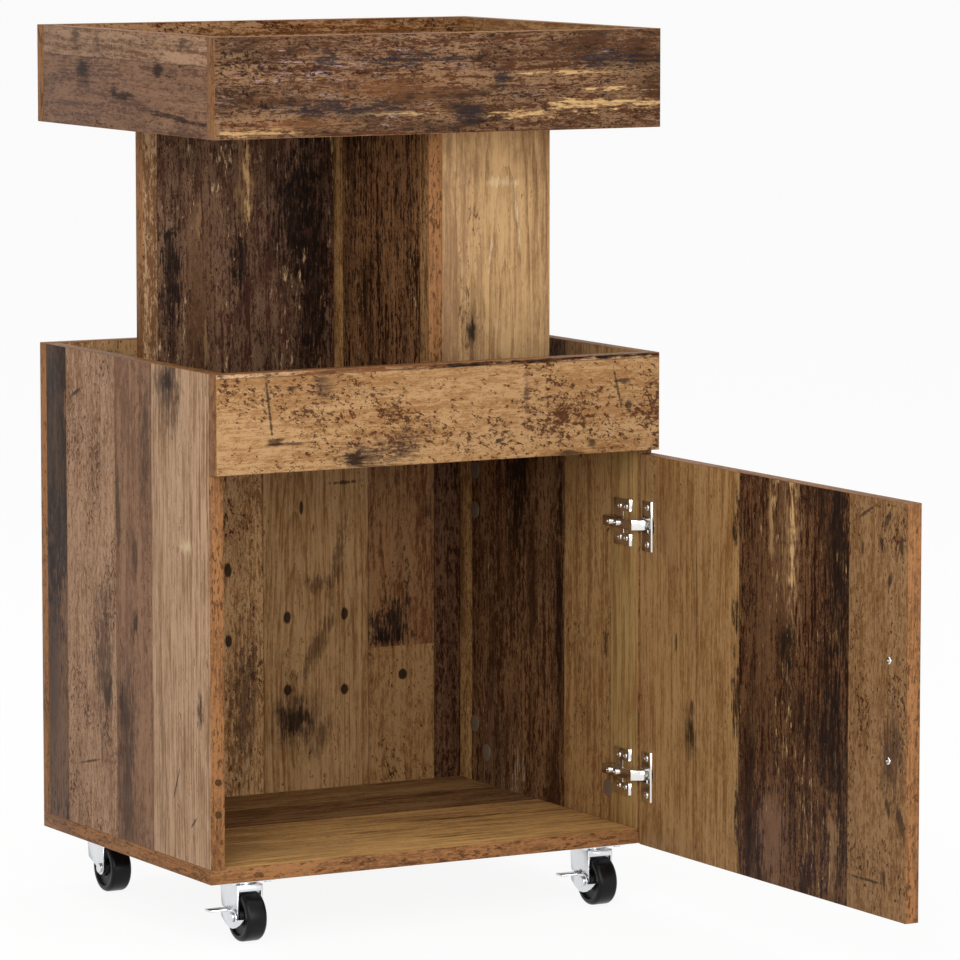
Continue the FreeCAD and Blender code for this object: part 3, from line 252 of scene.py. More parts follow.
# Boards: how their planks lie, and which show on them
PLANKED = {
    "left_side_panel": ("X_up", "side_charcoal", "side_speckled", "side_brown", "side_beige"),
    "right_side_panel": ("X_up", "wall_strip", "wall_dark", "wall_gold", "wall_gold_front"),
    "back_panel": ("Y_up", "back_olive", "back_pale", "back_red", "back_tan", "back_dark"),
    "bottom_board": ("Z_level", "floor_back", "floor_dark", "floor_front"),
    "lower_tray_front": ("Y_level", "lower_front_top", "lower_front"),
    "column_left_panel": ("Y_up", "column_strip", "column_dark"),
    "column_middle_panel": ("X_up", "column_middle_strip", "column_middle_dark", "column_middle_front"),
    "column_right_panel": ("Y_up", "column_right"),
    "top_tray_front": ("Y_level", "tray_front"),
    "top_tray_back": ("Y_level", "tray_back_inside"),
    "top_tray_left_side": ("X_level", "tray_left_upper", "tray_left_lower"),
    "top_tray_right_side": ("X_level", "tray_right_inside"),
    "door_panel": ("X_up", "door_gold", "door_dark", "door_speckled"),
}

# Rings without a middle of their own lie round a point this far beside the plank, in millimetres
RINGS_ASIDE = 400
# Planks out of sight: their light tones, and the share of a plank by which they are shifted
MIXED_TONES = ("ab8762", "6b4a30", "b8946a", "8f6b4a", "a07743", "54453b")
MIXED_SHIFT = 0.37
# A standing board lower than this many metres has its grain level
LEVEL_BELOW = 0.2
# Planks aren't parted nearer than this to the end of a board, in metres
PART_MARGIN = 0.002
WOOD_SHINE = {"Specular IOR Level": 0.07}

# Hinges in millimetres: their heights, their faces along X, the pin's place and the cups' axis along Y
HINGES = {"upper": 391, "lower": 134.5}
WALL, FLANGE, PLATE, ARM = 235, 233.5, 232, 224
PIN, CUP = (241, -196), -206
# Blocks of a hinge: limits along X, limits along Y and half height; then how far their fronts slant
HINGE_BLOCKS = {
    "wings": ((PLATE, WALL), (-175, -142.5), 23.75),
    "tongue": ((PLATE, WALL), (-144, -133.5), 5),
    "notch": ((PLATE - 1, WALL + 1), (-180, -162), 11.5),
    "arm": ((ARM, PLATE), (-190, -133.5), 5),
    "nose": ((ARM, 239.5), (-199.7, -194.5), 5),
    "groove": ((ARM - 0.8, ARM + 0.6), (-185, -130), 0.4),
    "flange": ((FLANGE, WALL), (-215, -197), 25.5),
    "slot": ((FLANGE - 0.5, 245.5), (-213.4, -190), 6.5),
    "hollow": ((WALL + 0.3, 245.5), (-214.7, -190), 6.5),
}
PLATE_SLANT, NOSE_SLANT, FLANGE_SLANT = 1.4, 7.9, 0.8
# The grooves' places above and below the middle of the arm
GROOVES = (-4.8, 4.8)
# Radius and length of the knuckle, the cup's drum and the drum's recess in the door, and the drum's middle along X
KNUCKLE, DRUM, RECESS, DRUM_MIDDLE = (3, 10), (13, 11.1), (13.1, 11.3), 240.45
# The recess's middle before the end of the drum, then the back and half height of the recess for the nose
RECESS_MIDDLE, NOSE_BACK, NOSE_HALF = 5.5, -192.3, 6.9
# Screw heads: radius and rise; then the hinges' screws, with heights from the hinge's own
FLAT_HEAD, PAN_HEAD = (3.5, 0.8), (3.75, 2)
HINGE_SCREWS = {
    "hinge_plate_screws": (FLAT_HEAD, [(PLATE, y, z) for y in (-166.5, -154) for z in (-16, 16)]),
    "hinge_arm_screws": (PAN_HEAD, [(ARM, y, 0) for y in (-161.5, -147.5)]),
    "hinge_cup_screws": (FLAT_HEAD, [(FLANGE, CUP, z) for z in (-19, 19)]),
}
# The handle's screws, above and below its middle
HANDLE_SCREWS = (-48, 48)
# A point within this many metres of a face counts as on it
TOUCH = 0.0001

CASTERS = ("front_left", "front_right", "rear_left", "rear_right")
# Wheels in millimetres: width, rounding of the tread, then the insets and steps of their sides from rim to hub
WHEEL_WIDTH, TREAD_ROUNDING = 22, 4
WHEEL_SIDE = ((2.2, 0), (0.8, -3), (9.2, 0), (0.6, 3.4))
# How far the back corners of the forks' legs are drawn down, in millimetres
LEG_MOVE = (0, -3, -17)

# Lamps: name, place, side and power; then the point that they look at
LAMPS = (
    ("key_lamp", (-3.4, -3.8, 2.4), 3.0, 120),
    ("front_lamp", (0.3, -5.2, 0.9), 2.4, 95),
    ("top_lamp", (0.2, 0.2, 4.2), 3.0, 42),
)
LAMP_AIM = (0, -0.1, 0.45)
CAMERA_PLACE = (-2.737496, -5.197359, 1.104781)
CAMERA_TURN = (90 - 6.549, 0, -29.1)
WHITE = (1, 1, 1, 1)
FLOOR_DEPTH = 0.05


class CartSizes(bpy.types.PropertyGroup):
    """Small sizes of the finish."""

    edge_ease: bpy.props.FloatProperty(
        name="Edge ease", description="Rounding along the edges of a board", default=0.0005, unit="LENGTH")
    plank_width: bpy.props.FloatProperty(
        name="Plank width", description="Printed planks on the faces out of sight", default=0.105, unit="LENGTH")
    floor_size: bpy.props.FloatProperty(
        name="Floor", description="Side of the studio floor", default=60, unit="LENGTH")
    lens: bpy.props.FloatProperty(
        name="Lens", description="Focal length on a 36 mm sensor", default=217.03, unit="CAMERA")


def linear(code):
    """Linear colour of a display code."""
    return Color([int(code[i:i + 2], 16) / 255 for i in (0, 2, 4)]).from_srgb_to_scene_linear()[:]


def colour_property(name, description, code):
    """A colour that a user may change, given by its display code."""
    return bpy.props.FloatVectorProperty(
        name=name, description=description, subtype="COLOR", size=3, min=0, max=1, default=linear(code))


class CartColours(bpy.types.PropertyGroup):
    """Colours of the finish."""

    wood_tint: colour_property("Wood tint", "Multiplies every plank of the print", "ffffff")
    edge_band: colour_property("Edge band", "Band along the edges of the boards", "9c6c44")
    edge_dash: colour_property("Edge dashes", "Dark dashes in the edge band", "55371f")
    nickel: colour_property("Nickel", "Hinges and their screws", "eceae6")
    zinc: colour_property("Zinc", "Casters and hidden fasteners", "e3e5e8")
    steel: colour_property("Brushed steel", "Door handle", "b4b3b0")
    tyre: colour_property("Wheels", "Black plastic of the wheels", "0e0e0f")
    cap: colour_property("Cover caps", "Plastic caps over the cam locks", "6f5f4f")
    bumper: colour_property("Bumpers", "Plastic bumpers on the left side", "46300f")
    beech: colour_property("Dowels", "Bare beech", "c9a878")
    floor: colour_property("Floor", "Studio floor", "f4f4f4")


class Flow:
    """A value, vector or colour in a node tree, reckoned with like a number."""

    def __init__(self, socket):
        self.socket = socket
        self.tree = socket.id_data

    def __add__(self, other):
        return maths("ADD", self, other)

    def __radd__(self, other):
        return maths("ADD", other, self)

    def __sub__(self, other):
        return maths("SUBTRACT", self, other)

    def __rsub__(self, other):
        return maths("SUBTRACT", other, self)

    def __mul__(self, other):
        return maths("MULTIPLY", self, other)

    def __truediv__(self, other):
        return maths("DIVIDE", self, other)

    def __pow__(self, other):
        return maths("POWER", self, other)


def feed(item, values):
    """Feed the sockets of a node by links or values."""
    for key, value in values.items():
        if isinstance(value, Flow):
            value.tree.links.new(value.socket, item.inputs[key])
        else:
            item.inputs[key].default_value = value


def add_node(tree, kind, values=None, **settings):
    """Outputs by name of a new node with its settings, its sockets fed by links or values."""
    item = tree.nodes.new(kind)
    for key, value in settings.items():
        setattr(item, key, value)
    feed(item, values or {})
    return {socket.name: Flow(socket) for socket in item.outputs if socket.enabled}


def wire(tree, kind, values=None, **settings):
    """First output of a new node."""
    return next(iter(add_node(tree, kind, values, **settings).values()), None)


def first_flow(*values):
    """The first of several values that comes from a node."""
    return next(value for value in values if isinstance(value, Flow))


def maths(operation, *values):
    """Result of a maths node, for vectors if the first value from a node is one."""
    flow = first_flow(*values)
    kind = "ShaderNodeVectorMath" if flow.socket.type == "VECTOR" else "ShaderNodeMath"
    return wire(flow.tree, kind, dict(enumerate(values)), operation=operation)


def combine(*values):
    """A vector from its three values."""
    return wire(first_flow(*values).tree, "ShaderNodeCombineXYZ", dict(enumerate(values)))


def parts(vector):
    """The three values of a vector."""
    return add_node(vector.tree, "ShaderNodeSeparateXYZ", {0: vector}).values()


def turned(vector, angle):
    """A vector turned in the plane of the plank."""
    return wire(vector.tree, "ShaderNodeVectorRotate", {"Vector": vector, "Angle": angle}, rotation_type="Z_AXIS")


def noise(vector, scale, detail=3, roughness=0.55, distortion=0):
    """Noise about one half on a stretched vector, mostly between 0 and 1."""
    raw = wire(vector.tree, "ShaderNodeTexNoise", {
        "Vector": vector * scale, "Scale": 1, "Detail": detail, "Roughness": roughness, "Distortion": distortion})
    return maths("MULTIPLY_ADD", raw, 1.8, -0.4)


def step(value, low, high):
    """Smooth rise from 0 to 1 between two limits."""
    return wire(value.tree, "ShaderNodeMapRange", {"Value": value, "From Min": low, "From Max": high},
                interpolation_type="SMOOTHSTEP")


def blend(factor, first, second, mode="MIX"):
    """Two colours mixed by a factor."""
    tree = first_flow(factor, first, second).tree
    return wire(tree, "ShaderNodeMix", {0: factor, 6: first, 7: second}, data_type="RGBA", blend_type=mode)


def weigh(*terms):
    """Sum of values less one half, each with its weight."""
    first, *others = [(value - 0.5) * weight for value, weight in terms]
    return sum(others, first)


def thin_line(value, width):
    """One where a noise crosses its middle, and nothing beyond a width."""
    return 1 - step(maths("ABSOLUTE", weigh((value, 1))), 0.002, width)


def new_group(name, inputs, outputs):
    """An empty node group with its sockets by kind, what it is given by name and its output node."""
    tree = bpy.data.node_groups.new(name, "ShaderNodeTree")
    for way, sockets in (("INPUT", inputs), ("OUTPUT", outputs)):
        for kind, labels in sockets.items():
            for label in labels:
                tree.interface.new_socket(label, in_out=way, socket_type=f"NodeSocket{kind}")
    return tree, add_node(tree, "NodeGroupInput"), tree.nodes.new("NodeGroupOutput")


def old_wood_group():
    """The printed old wood: grain, rings, pits, burnt patches, pale flecks, cracks and worn plank edges."""
    if "old_wood_print" in bpy.data.node_groups:
        return bpy.data.node_groups["old_wood_print"]
    tree, given, result = new_group("old_wood_print", {
        "Vector": ("Vector",), "Color": ("Light", "Dark", "Burn", "Fleck"),
        "Float": ("Grain", "Rings", "Specks", "Dashes", "Burning", "Flecks", "Cracks", "Strokes", "Scratches",
                  "Contrast", "Seed", "Near", "Far", "Rings along", "Rings across", "Ring gap")},
        {"Color": ("Color",), "Float": ("Roughness", "Height")})
    seed = given["Seed"]
    along, across, _ = parts(given["Vector"])
    place = given["Vector"] + combine(seed * 1.37, seed * 0.73, seed * 2.19)
    there = place + (3.1, 1.7, 0)
    sway = weigh((noise(place, (4, 11, 1), 2), 1)) * 0.010
    bent = place + combine(0, sway, 0)
    grain = noise(bent, (8, 260, 1), 3, 0.8)
    streak = noise(bent, (5, 130, 1), 4, 0.65)
    broad = noise(place, (6, 20, 1))
    blotch = noise(place, (22, 75, 1), 6, 0.7)
    mottle = noise(place, (90, 190, 1), 3, 0.7)
    fibre = noise(place, (95, 400, 1), 3, 0.9)

    # Tone between dark and light, with growth rings round their middle
    off = across - given["Rings across"] + sway * 0.35
    away = (along - given["Rings along"]) * 0.10
    reach = maths("SQRT", off * off + away * away)
    ring = maths("FRACT", reach / given["Ring gap"] + weigh((streak, 0.3), (broad, 0.3))) ** 2.6
    tone = weigh((streak, 1.2), (broad, 0.8), (blotch, 1), (fibre, 0.5)) + weigh((grain, 2.4)) * given["Grain"]
    tone = tone + weigh((mottle, 2.4), (fibre, 3.6)) * given["Dashes"]
    tone = 0.55 + tone * given["Contrast"] - ring * given["Rings"] * 0.8 + given["Rings"] * 0.3
    colour = blend(step(tone, 0, 1), given["Dark"], given["Light"])

    # Pale flecks, then burnt patches
    pale = noise(bent, (52, 250, 1), 4, 0.7) + weigh((noise(there, (5, 17, 1)), 0.6), (grain, 0.35))
    pale = step(pale - (0.86 - given["Flecks"] * 0.34), 0, 0.16) * 0.9
    colour = blend(pale, colour, given["Fleck"])
    burnt = noise(place, (6, 28, 1), 8, 0.7, 0.4) + weigh((grain, 0.4), (streak, 0.4), (mottle, 0.6), (fibre, 0.8))
    burnt = step(burnt - (0.85 - given["Burning"] * 0.5), -0.1, 0.24) * 0.88
    colour = blend(burnt, colour, given["Burn"])

    # Fine and coarse pits, and the strokes of an axe
    where = noise(there, (12, 20, 1))
    fine = noise(turned(place, 0.35), (165, 270, 1), 3, 0.7) + weigh((where, 0.4))
    coarse = noise(place, (72, 120, 1), 6, 0.8) + weigh((where, 0.4))
    cut = noise(turned(there, -0.75), (75, 230, 1), 4, 0.7, 0.3) + weigh((where, 0.5))
    limit = 0.94 - given["Specks"] * 0.48
    hewn = 0.92 - given["Strokes"] * 0.34
    pits = maths("MAXIMUM", step(fine - limit, -0.01, 0.14), step(coarse - limit, 0, 0.17))
    pits = maths("MAXIMUM", pits, step(cut - hewn, 0, 0.14)) * 0.9
    colour = blend(pits, colour, given["Burn"])

    # Cracks along the grain, pale scratches and the worn rims of the plank
    spread = step(noise(place, (9, 12, 1), 2), 0.46, 0.62)
    split = thin_line(noise(bent, (2.6, 38, 1), 2), 0.012) * spread * given["Cracks"]
    colour = blend(split, colour, given["Burn"])
    spread = step(noise(there, (20, 30, 1)), 0.55, 0.68)
    scratch = thin_line(noise(there, (11, 80, 1), 2, 0.5, 0.4), 0.014) * spread * given["Scratches"]
    colour = blend(scratch, colour, given["Fleck"])
    rim = maths("MINIMUM", across - given["Near"], given["Far"] - across)
    rim = (1 - step(rim + weigh((noise(place, (60, 60, 1)), 0.0018)), 0, 0.0011)) * 0.5
    colour = blend(rim, colour, given["Burn"])

    height = 0.6 + weigh((grain, 0.8), (streak, 0.5))
    for dent in (pits, split, rim):
        height = height - dent * 0.35
    rough = 0.56 + weigh((grain, 0.2), (broad, 0.12)) + burnt * 0.08
    feed(result, {"Color": colour, "Roughness": rough, "Height": height})
    return tree


def mark_group():
    """One mark at a chosen place of a plank: a knot, nail hole, stain, burnt or pale patch."""
    if "plank_mark" in bpy.data.node_groups:
        return bpy.data.node_groups["plank_mark"]
    tree, given, result = new_group("plank_mark", {
        "Color": ("Color", "Mark"), "Vector": ("Vector", "Centre", "Size"),
        "Float": ("Softness", "Raggedness", "Strength", "Turn")}, {"Color": ("Color",)})
    place, ragged = given["Vector"], given["Raggedness"]
    along, across, _ = parts(turned(place - given["Centre"], given["Turn"]) / given["Size"])
    torn = weigh((noise(place, (38, 400, 1), 4, 0.7), 2), (noise(place, (70, 130, 1), 4, 0.7), 1.5))
    far = maths("SQRT", along * along + across * across) + torn * ragged
    cover = 1 - step(far, 1 - given["Softness"], 1 + given["Softness"] * 0.5)
    worn = 1 - (torn * 0.4 + 0.12) * ragged
    worn = maths("MINIMUM", maths("MAXIMUM", worn, 0.2), 1)
    feed(result, {"Color": blend(cover * worn * given["Strength"], given["Color"], given["Mark"])})
    return tree


def rgba(code, tint):
    """Colour of a display code for a socket, under a tint."""
    return tuple(value * part for value, part in zip(linear(code), tint)) + (1.0,)


def opaque(colour, share=1):
    """A share of a chosen colour, for a socket."""
    return tuple(value * share for value in colour) + (1.0,)


def bare_tree(owner):
    """The node tree of a material or world, emptied."""
    owner.use_nodes = True
    owner.node_tree.nodes.clear()
    return owner.node_tree


def new_material(name):
    """A material with nothing but its surface shader and output: its tree, the shader and the place on the object."""
    tree = bare_tree(bpy.data.materials.new(name))
    shader = tree.nodes.new("ShaderNodeBsdfPrincipled")
    wire(tree, "ShaderNodeOutputMaterial", {"Surface": Flow(shader.outputs[0])})
    return tree, shader, add_node(tree, "ShaderNodeTexCoord")["Object"]


def surface(shader, colour, roughness, height, strength, depth, others):
    """Lead colour, roughness and a relief, its depth in millimetres, to a surface shader."""
    relief = wire(height.tree, "ShaderNodeBump", {"Strength": strength, "Distance": depth * MM, "Height": height})
    feed(shader, {"Base Color": colour, "Roughness": roughness, "Normal": relief, **others})


def lie_vector(place, lie):
    """The place on the object, turned so that the grain runs along X."""
    turn = [math.radians(angle) for angle in LIES[lie][2]]
    return wire(place.tree, "ShaderNodeMapping", {"Vector": place, "Rotation": turn})


def plank_material(name, lie):
    """The material of one printed plank."""
    row = PLANKS[name]
    tint = bpy.context.scene.cart_colours.wood_tint
    tree, shader, place = new_material(name)
    vector = lie_vector(place, lie)
    light, dark, burn, *fleck = [rgba(code, tint) for code in row["tones"]]
    near, far = row["width"]
    rings_along, rings_across = row.get("rings_at", (0, (near + far) / 2 + RINGS_ASIDE))
    values = {key.capitalize(): row[key] for key in (
        "grain", "specks", "dashes", "seed", *FEATURES) if key != "ring_gap"}
    wood = add_node(tree, "ShaderNodeGroup", {
        **values, "Vector": vector, "Light": light, "Dark": dark, "Burn": burn, "Fleck": (fleck or [light])[0],
        "Near": near * MM, "Far": far * MM, "Rings along": rings_along * MM, "Rings across": rings_across * MM,
        "Ring gap": row["ring_gap"] * MM},
        node_tree=old_wood_group())
    colour = wood["Color"]
    for kind, *numbers in row["marks"]:
        code, softness, ragged, strength = MARKS[kind]
        along, across, length, width, *turn = map(float, numbers)
        colour = wire(tree, "ShaderNodeGroup", {
            "Color": colour, "Mark": rgba(code, tint), "Vector": vector,
            "Centre": mm(along, across, 0), "Size": (length * MM, width * MM, 1),
            "Softness": softness, "Raggedness": ragged, "Strength": strength, "Turn": -math.radians(sum(turn))},
            node_tree=mark_group())
    surface(shader, colour, wood["Roughness"], wood["Height"], 0.35, 0.4, WOOD_SHINE)


def mixed_material(name, lie):
    """Printed planks of several tones side by side, for the faces that the photograph doesn't show."""
    tint = bpy.context.scene.cart_colours.wood_tint
    width = bpy.context.scene.cart_sizes.plank_width
    tree, shader, place = new_material(name)
    vector = lie_vector(place, lie)
    _, across, _ = parts(vector)
    number = maths("FLOOR", across / width + MIXED_SHIFT)
    near = (number - MIXED_SHIFT) * width
    chance, other = (wire(tree, "ShaderNodeTexWhiteNoise", {"W": draw}, noise_dimensions="1D")
                     for draw in (number, number + 41.3))
    ramp = tree.nodes.new("ShaderNodeValToRGB")
    feed(ramp, {0: chance})
    ramp.color_ramp.interpolation = "CONSTANT"
    tones = ramp.color_ramp.elements
    while len(tones) < len(MIXED_TONES):
        tones.new(0.5)
    for count, code in enumerate(MIXED_TONES):
        tones[count].position = count / len(MIXED_TONES)
        tones[count].color = rgba(code, tint)
    light = Flow(ramp.outputs[0])
    wood = add_node(tree, "ShaderNodeGroup", {
        "Vector": vector, "Light": light, "Dark": blend(1, light, (0.42, 0.38, 0.34, 1), "MULTIPLY"),
        "Burn": rgba("33251d", tint), "Fleck": rgba("b18a60", tint), "Grain": 0.75, "Rings": other * 0.4,
        "Specks": other * 0.62, "Dashes": 0.4, "Burning": chance * 0.5, "Flecks": 0.16, "Cracks": 0.4,
        "Strokes": other * 0.5, "Scratches": 0, "Contrast": 1, "Seed": number * 7.3, "Near": near,
        "Far": near + width, "Rings along": 0.3, "Rings across": -0.6, "Ring gap": FEATURES["ring_gap"] * MM},
        node_tree=old_wood_group())

    # Scattered knots: a soft halo and a dark core
    spots = add_node(tree, "ShaderNodeTexVoronoi", {"Vector": vector * (5.2, 10.5, 1), "Scale": 1},
                     voronoi_dimensions="2D")
    frayed = spots["Distance"] + weigh((noise(vector, (40, 150, 1), 4, 0.7), 0.3))
    kept = step(wire(tree, "ShaderNodeSeparateColor", {0: spots["Color"]}), 0.58, 0.63)
    colour = wood["Color"]
    for code, reach, strength in (("453226", 0.26, 0.6), ("2b1c13", 0.1, 0.85)):
        cover = (1 - step(frayed, 0.02, reach)) * kept * strength
        colour = blend(cover, colour, rgba(code, tint))
    surface(shader, colour, wood["Roughness"], wood["Height"], 0.35, 0.4, WOOD_SHINE)


def band_material(name, run):
    """Orange-brown edge band with short dark dashes along it."""
    colours = bpy.context.scene.cart_colours
    _, shader, place = new_material(name)

    def drawn(along, across):
        return tuple(along if axis == run else across for axis in "XYZ")

    dash = noise(place, drawn(110, 330), 3, 0.6) + weigh((noise(place, (14, 14, 14), 2), 0.35))
    blot = noise(place, drawn(55, 190), 4, 0.7)
    dash = maths("MAXIMUM", step(dash, 0.6, 0.74), step(blot, 0.66, 0.76)) * 0.85
    grain = noise(place, drawn(14, 500), 4, 0.6)
    broad = noise(place, (9, 9, 9), 2)
    grit = noise(place, drawn(160, 450), 2, 0.8)
    tone = step(grain + weigh((broad, 0.6), (grit, 0.9)), 0.2, 0.75)
    colour = blend(tone, opaque(colours.edge_band, 0.58), opaque(colours.edge_band))
    colour = blend(dash, colour, opaque(colours.edge_dash))
    surface(shader, colour, 0.5 + weigh((grain, 0.2)), grain, 0.3, 0.3, WOOD_SHINE)


def coat(name, colour, rough, cloud, grit, shades, strength, share, others):
    """One colour with slight clouds and a fine grit, for metal and plastic."""
    _, shader, place = new_material(name)
    cloud, grit = noise(place, (cloud,) * 3), noise(place, grit, 2)
    dull, bright = (opaque(colour, shade) for shade in shades)
    rough = rough + weigh((cloud, share), (grit, 0.06))
    surface(shader, blend(cloud, dull, bright), rough, grit, strength, 0.1, others)


def metal_material(name, colour, rough, fine=900):
    """Plated or brushed metal with slight unevenness."""
    coat(name, colour, rough, 60, (fine, fine, fine * 0.12), (0.88, 1), 0.12, 0.14, {"Metallic": 1})


def plastic_material(name, colour, rough, specular):
    """Moulded plastic with a fine grain."""
    coat(name, colour, rough, 45, (1500, 1500, 1500), (0.85, 1.12), 0.15, 0.16, {"Specular IOR Level": specular})


def beech_material(name, colour):
    """Bare beech of the dowels."""
    _, shader, place = new_material(name)
    grain = noise(place, (300, 300, 300), 4)
    tone = blend(grain, opaque(colour, 0.7), opaque(colour))
    surface(shader, tone, 0.6 + weigh((grain, 0.2)), grain, 0.2, 0.2, {})


def seen_factor(tree):
    """One for rays from the camera, a mirror or glass, nothing for light that falls on the cart."""
    path = add_node(tree, "ShaderNodeLightPath")
    seen = maths("MAXIMUM", path["Is Camera Ray"], path["Is Glossy Ray"])
    return maths("MAXIMUM", seen, path["Is Transmission Ray"])


def floor_material(name, colour):
    """White floor that keeps a soft shadow."""
    tree = bare_tree(bpy.data.materials.new(name))
    grit = noise(add_node(tree, "ShaderNodeTexCoord")["Object"], (30, 30, 30), 2)
    pale = blend(grit * 0.02, opaque(colour), (0.8, 0.8, 0.8, 1))
    matt = wire(tree, "ShaderNodeBsdfDiffuse", {"Color": pale})
    glow = wire(tree, "ShaderNodeEmission", {"Color": WHITE, "Strength": 1.03})
    mixed = wire(tree, "ShaderNodeMixShader", {0: seen_factor(tree) * 0.88, 1: matt, 2: glow})
    wire(tree, "ShaderNodeOutputMaterial", {"Surface": mixed})


# Finish of each slot that isn't old wood, and of the floor: how it is made, its name, its colour and its settings
FINISHES = {
    "nickel_steel": (metal_material, "nickel_plate", "nickel", 0.16),
    "zinc_steel": (metal_material, "zinc_plate", "zinc", 0.24),
    "brushed_steel": (metal_material, "brushed_bar", "steel", 0.32, 1600),
    "black_plastic": (plastic_material, "wheel_plastic", "tyre", 0.3, 0.18),
    "grey_plastic": (plastic_material, "cap_plastic", "cap", 0.5, 0.25),
    "dark_plastic": (plastic_material, "bumper_plastic", "bumper", 0.5, 0.15),
    "beech": (beech_material, "bare_beech", "beech"),
    "floor": (floor_material, "pale_floor", "floor"),
}


def stored(name, make, *settings):
    """A material by its name, made at its first use."""
    if name not in bpy.data.materials:
        make(name, *settings)
    return bpy.data.materials[name]


def mixed_planks(lie):
    """Planks for a face out of sight."""
    return stored(f"mixed_planks_{lie}", mixed_material, lie)


def finish_for(slot):
    """The material of a slot that isn't old wood."""
    make, name, colour, *settings = FINISHES[slot]
    return stored(name, make, getattr(bpy.context.scene.cart_colours, colour), *settings)


def mm(*lengths):
    """Lengths given in millimetres, in metres."""
    return [length * MM for length in lengths]


def alone(piece):
    """Make a piece the only selected and active object."""
    bpy.ops.object.select_all(action="DESELECT")
    piece.select_set(True)
    bpy.context.view_layer.objects.active = piece


def settled(name):
    """Name the shape just added, and put its place, turn and scale into its mesh."""
    piece = bpy.context.active_object
    piece.name = name
    alone(piece)
    bpy.ops.object.transform_apply(location=True, rotation=True, scale=True)
    return piece


def block(name, low, high):
    """A block between two corners."""
    bpy.ops.object.select_all(action="DESELECT")
    low, high = Vector(low), Vector(high)
    bpy.ops.mesh.primitive_cube_add(size=1, location=(low + high) / 2, scale=high - low)
    return settled(name)


def hinge_block(name, height):
    """A block of a hinge, as far above as below a height in millimetres."""
    (near, far), (front, back), half = HINGE_BLOCKS[name]
    return block(name, mm(near, front, height - half), mm(far, back, height + half))


def disc(name, centre, axis, radius, length, corners):
    """A cylinder round the X or Z axis, given by its middle."""
    bpy.ops.object.select_all(action="DESELECT")
    turn = {"X": (0, math.pi / 2, 0), "Z": (0, 0, 0)}[axis]
    bpy.ops.mesh.primitive_cylinder_add(vertices=corners, radius=radius, depth=length, location=centre, rotation=turn)
    return settled(name)


def edit(piece):
    """Enter edit mode on one piece, with all of it selected."""
    alone(piece)
    bpy.ops.object.mode_set(mode="EDIT")
    bpy.ops.mesh.select_all(action="SELECT")


def leave():
    """Back to object mode."""
    bpy.ops.object.mode_set(mode="OBJECT")


def pick(piece, kind, rule):
    """Select the faces or vertices that follow a rule, in edit mode."""
    bpy.ops.mesh.select_mode(type={"verts": "VERT", "faces": "FACE"}[kind])
    bpy.ops.mesh.select_all(action="DESELECT")
    mesh = bmesh.from_edit_mesh(piece.data)
    for item in getattr(mesh, kind):
        item.select_set(rule(item))
    mesh.select_flush_mode()
    bmesh.update_edit_mesh(piece.data)


def shift(piece, move, rule):
    """Move the corners of a piece whose place follows a rule, by millimetres."""
    edit(piece)
    pick(piece, "verts", lambda vert: rule(vert.co))
    bpy.ops.transform.translate(value=mm(*move))
    leave()


def smooth(piece, angle):
    """Smooth shading across shallow angles."""
    alone(piece)
    bpy.ops.object.shade_smooth_by_angle(angle=math.radians(angle))


def apply(piece, kind, **settings):
    """Add a modifier and apply it."""
    alone(piece)
    modifier = piece.modifiers.new(kind.lower(), kind)
    for key, value in settings.items():
        setattr(modifier, key, value)
    bpy.ops.object.modifier_apply(modifier=modifier.name)


def merge(piece, operation, others):
    """Merge other shapes with a piece and clear them away."""
    for other in others:
        apply(piece, "BOOLEAN", operation=operation, solver="EXACT", object=other)
        bpy.data.objects.remove(other)


def cut_away(piece, *cutters):
    """Take other shapes out of a piece."""
    merge(piece, "DIFFERENCE", cutters)


def add_on(piece, *others):
    """Merge other shapes into a piece."""
    merge(piece, "UNION", others)


def ease_edges(piece, width, segments=2, angle=40):
    """Round the sharp edges of a piece by millimetres."""
    apply(piece, "BEVEL", width=width * MM, segments=segments, limit_method="ANGLE", angle_limit=math.radians(angle))
    smooth(piece, angle)


def join(name, pieces):
    """Several pieces as one object."""
    bpy.ops.object.select_all(action="DESELECT")
    for piece in pieces:
        piece.select_set(True)
    bpy.context.view_layer.objects.active = pieces[0]
    bpy.ops.object.join()
    pieces[0].name = name
    return pieces[0]


def repeat(piece, places):
    """A piece made at the first of several places, and a copy with its own mesh at each other one."""
    pieces = [piece]
    for place in places[1:]:
        alone(piece)
        bpy.ops.object.duplicate()
        bpy.ops.transform.translate(value=Vector(place) - Vector(places[0]))
        pieces.append(settled(piece.name))
    return pieces


def dress(piece, material):
    """Give a piece one material all over."""
    piece.data.materials.clear()
    piece.data.materials.append(material)


def dress_nodes(material, *nodes):
    """Give nodes that stay their material."""
    for node in nodes:
        dress(frame["nodes"][node], material)


def body_of(node):
    """The body that carries a node."""
    for body, members in frame["record"]["behaviour"]["bodies"].items():
        if node in members:
            return body
    raise ValueError(f"no body carries {node}")


def stand_in(piece, node):
    """Let a finished piece ride and stand for its node."""
    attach(piece, body_of(node))
    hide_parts(node)


def complete(piece, finish, node):
    """Dress a piece in the slot of its finish and let it stand for its node."""
    dress(piece, finish_for(finish))
    stand_in(piece, node)


def middle_of(node):
    """Middle of a node's box."""
    low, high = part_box(node)
    return (low + high) / 2


def side_of(normal):
    """Name of the side that a face looks to, or nothing for an eased edge."""
    for axis, place in SIDES.items():
        if abs(normal[place]) > 0.995:
            return ("+" if normal[place] > 0 else "-") + axis
    return None


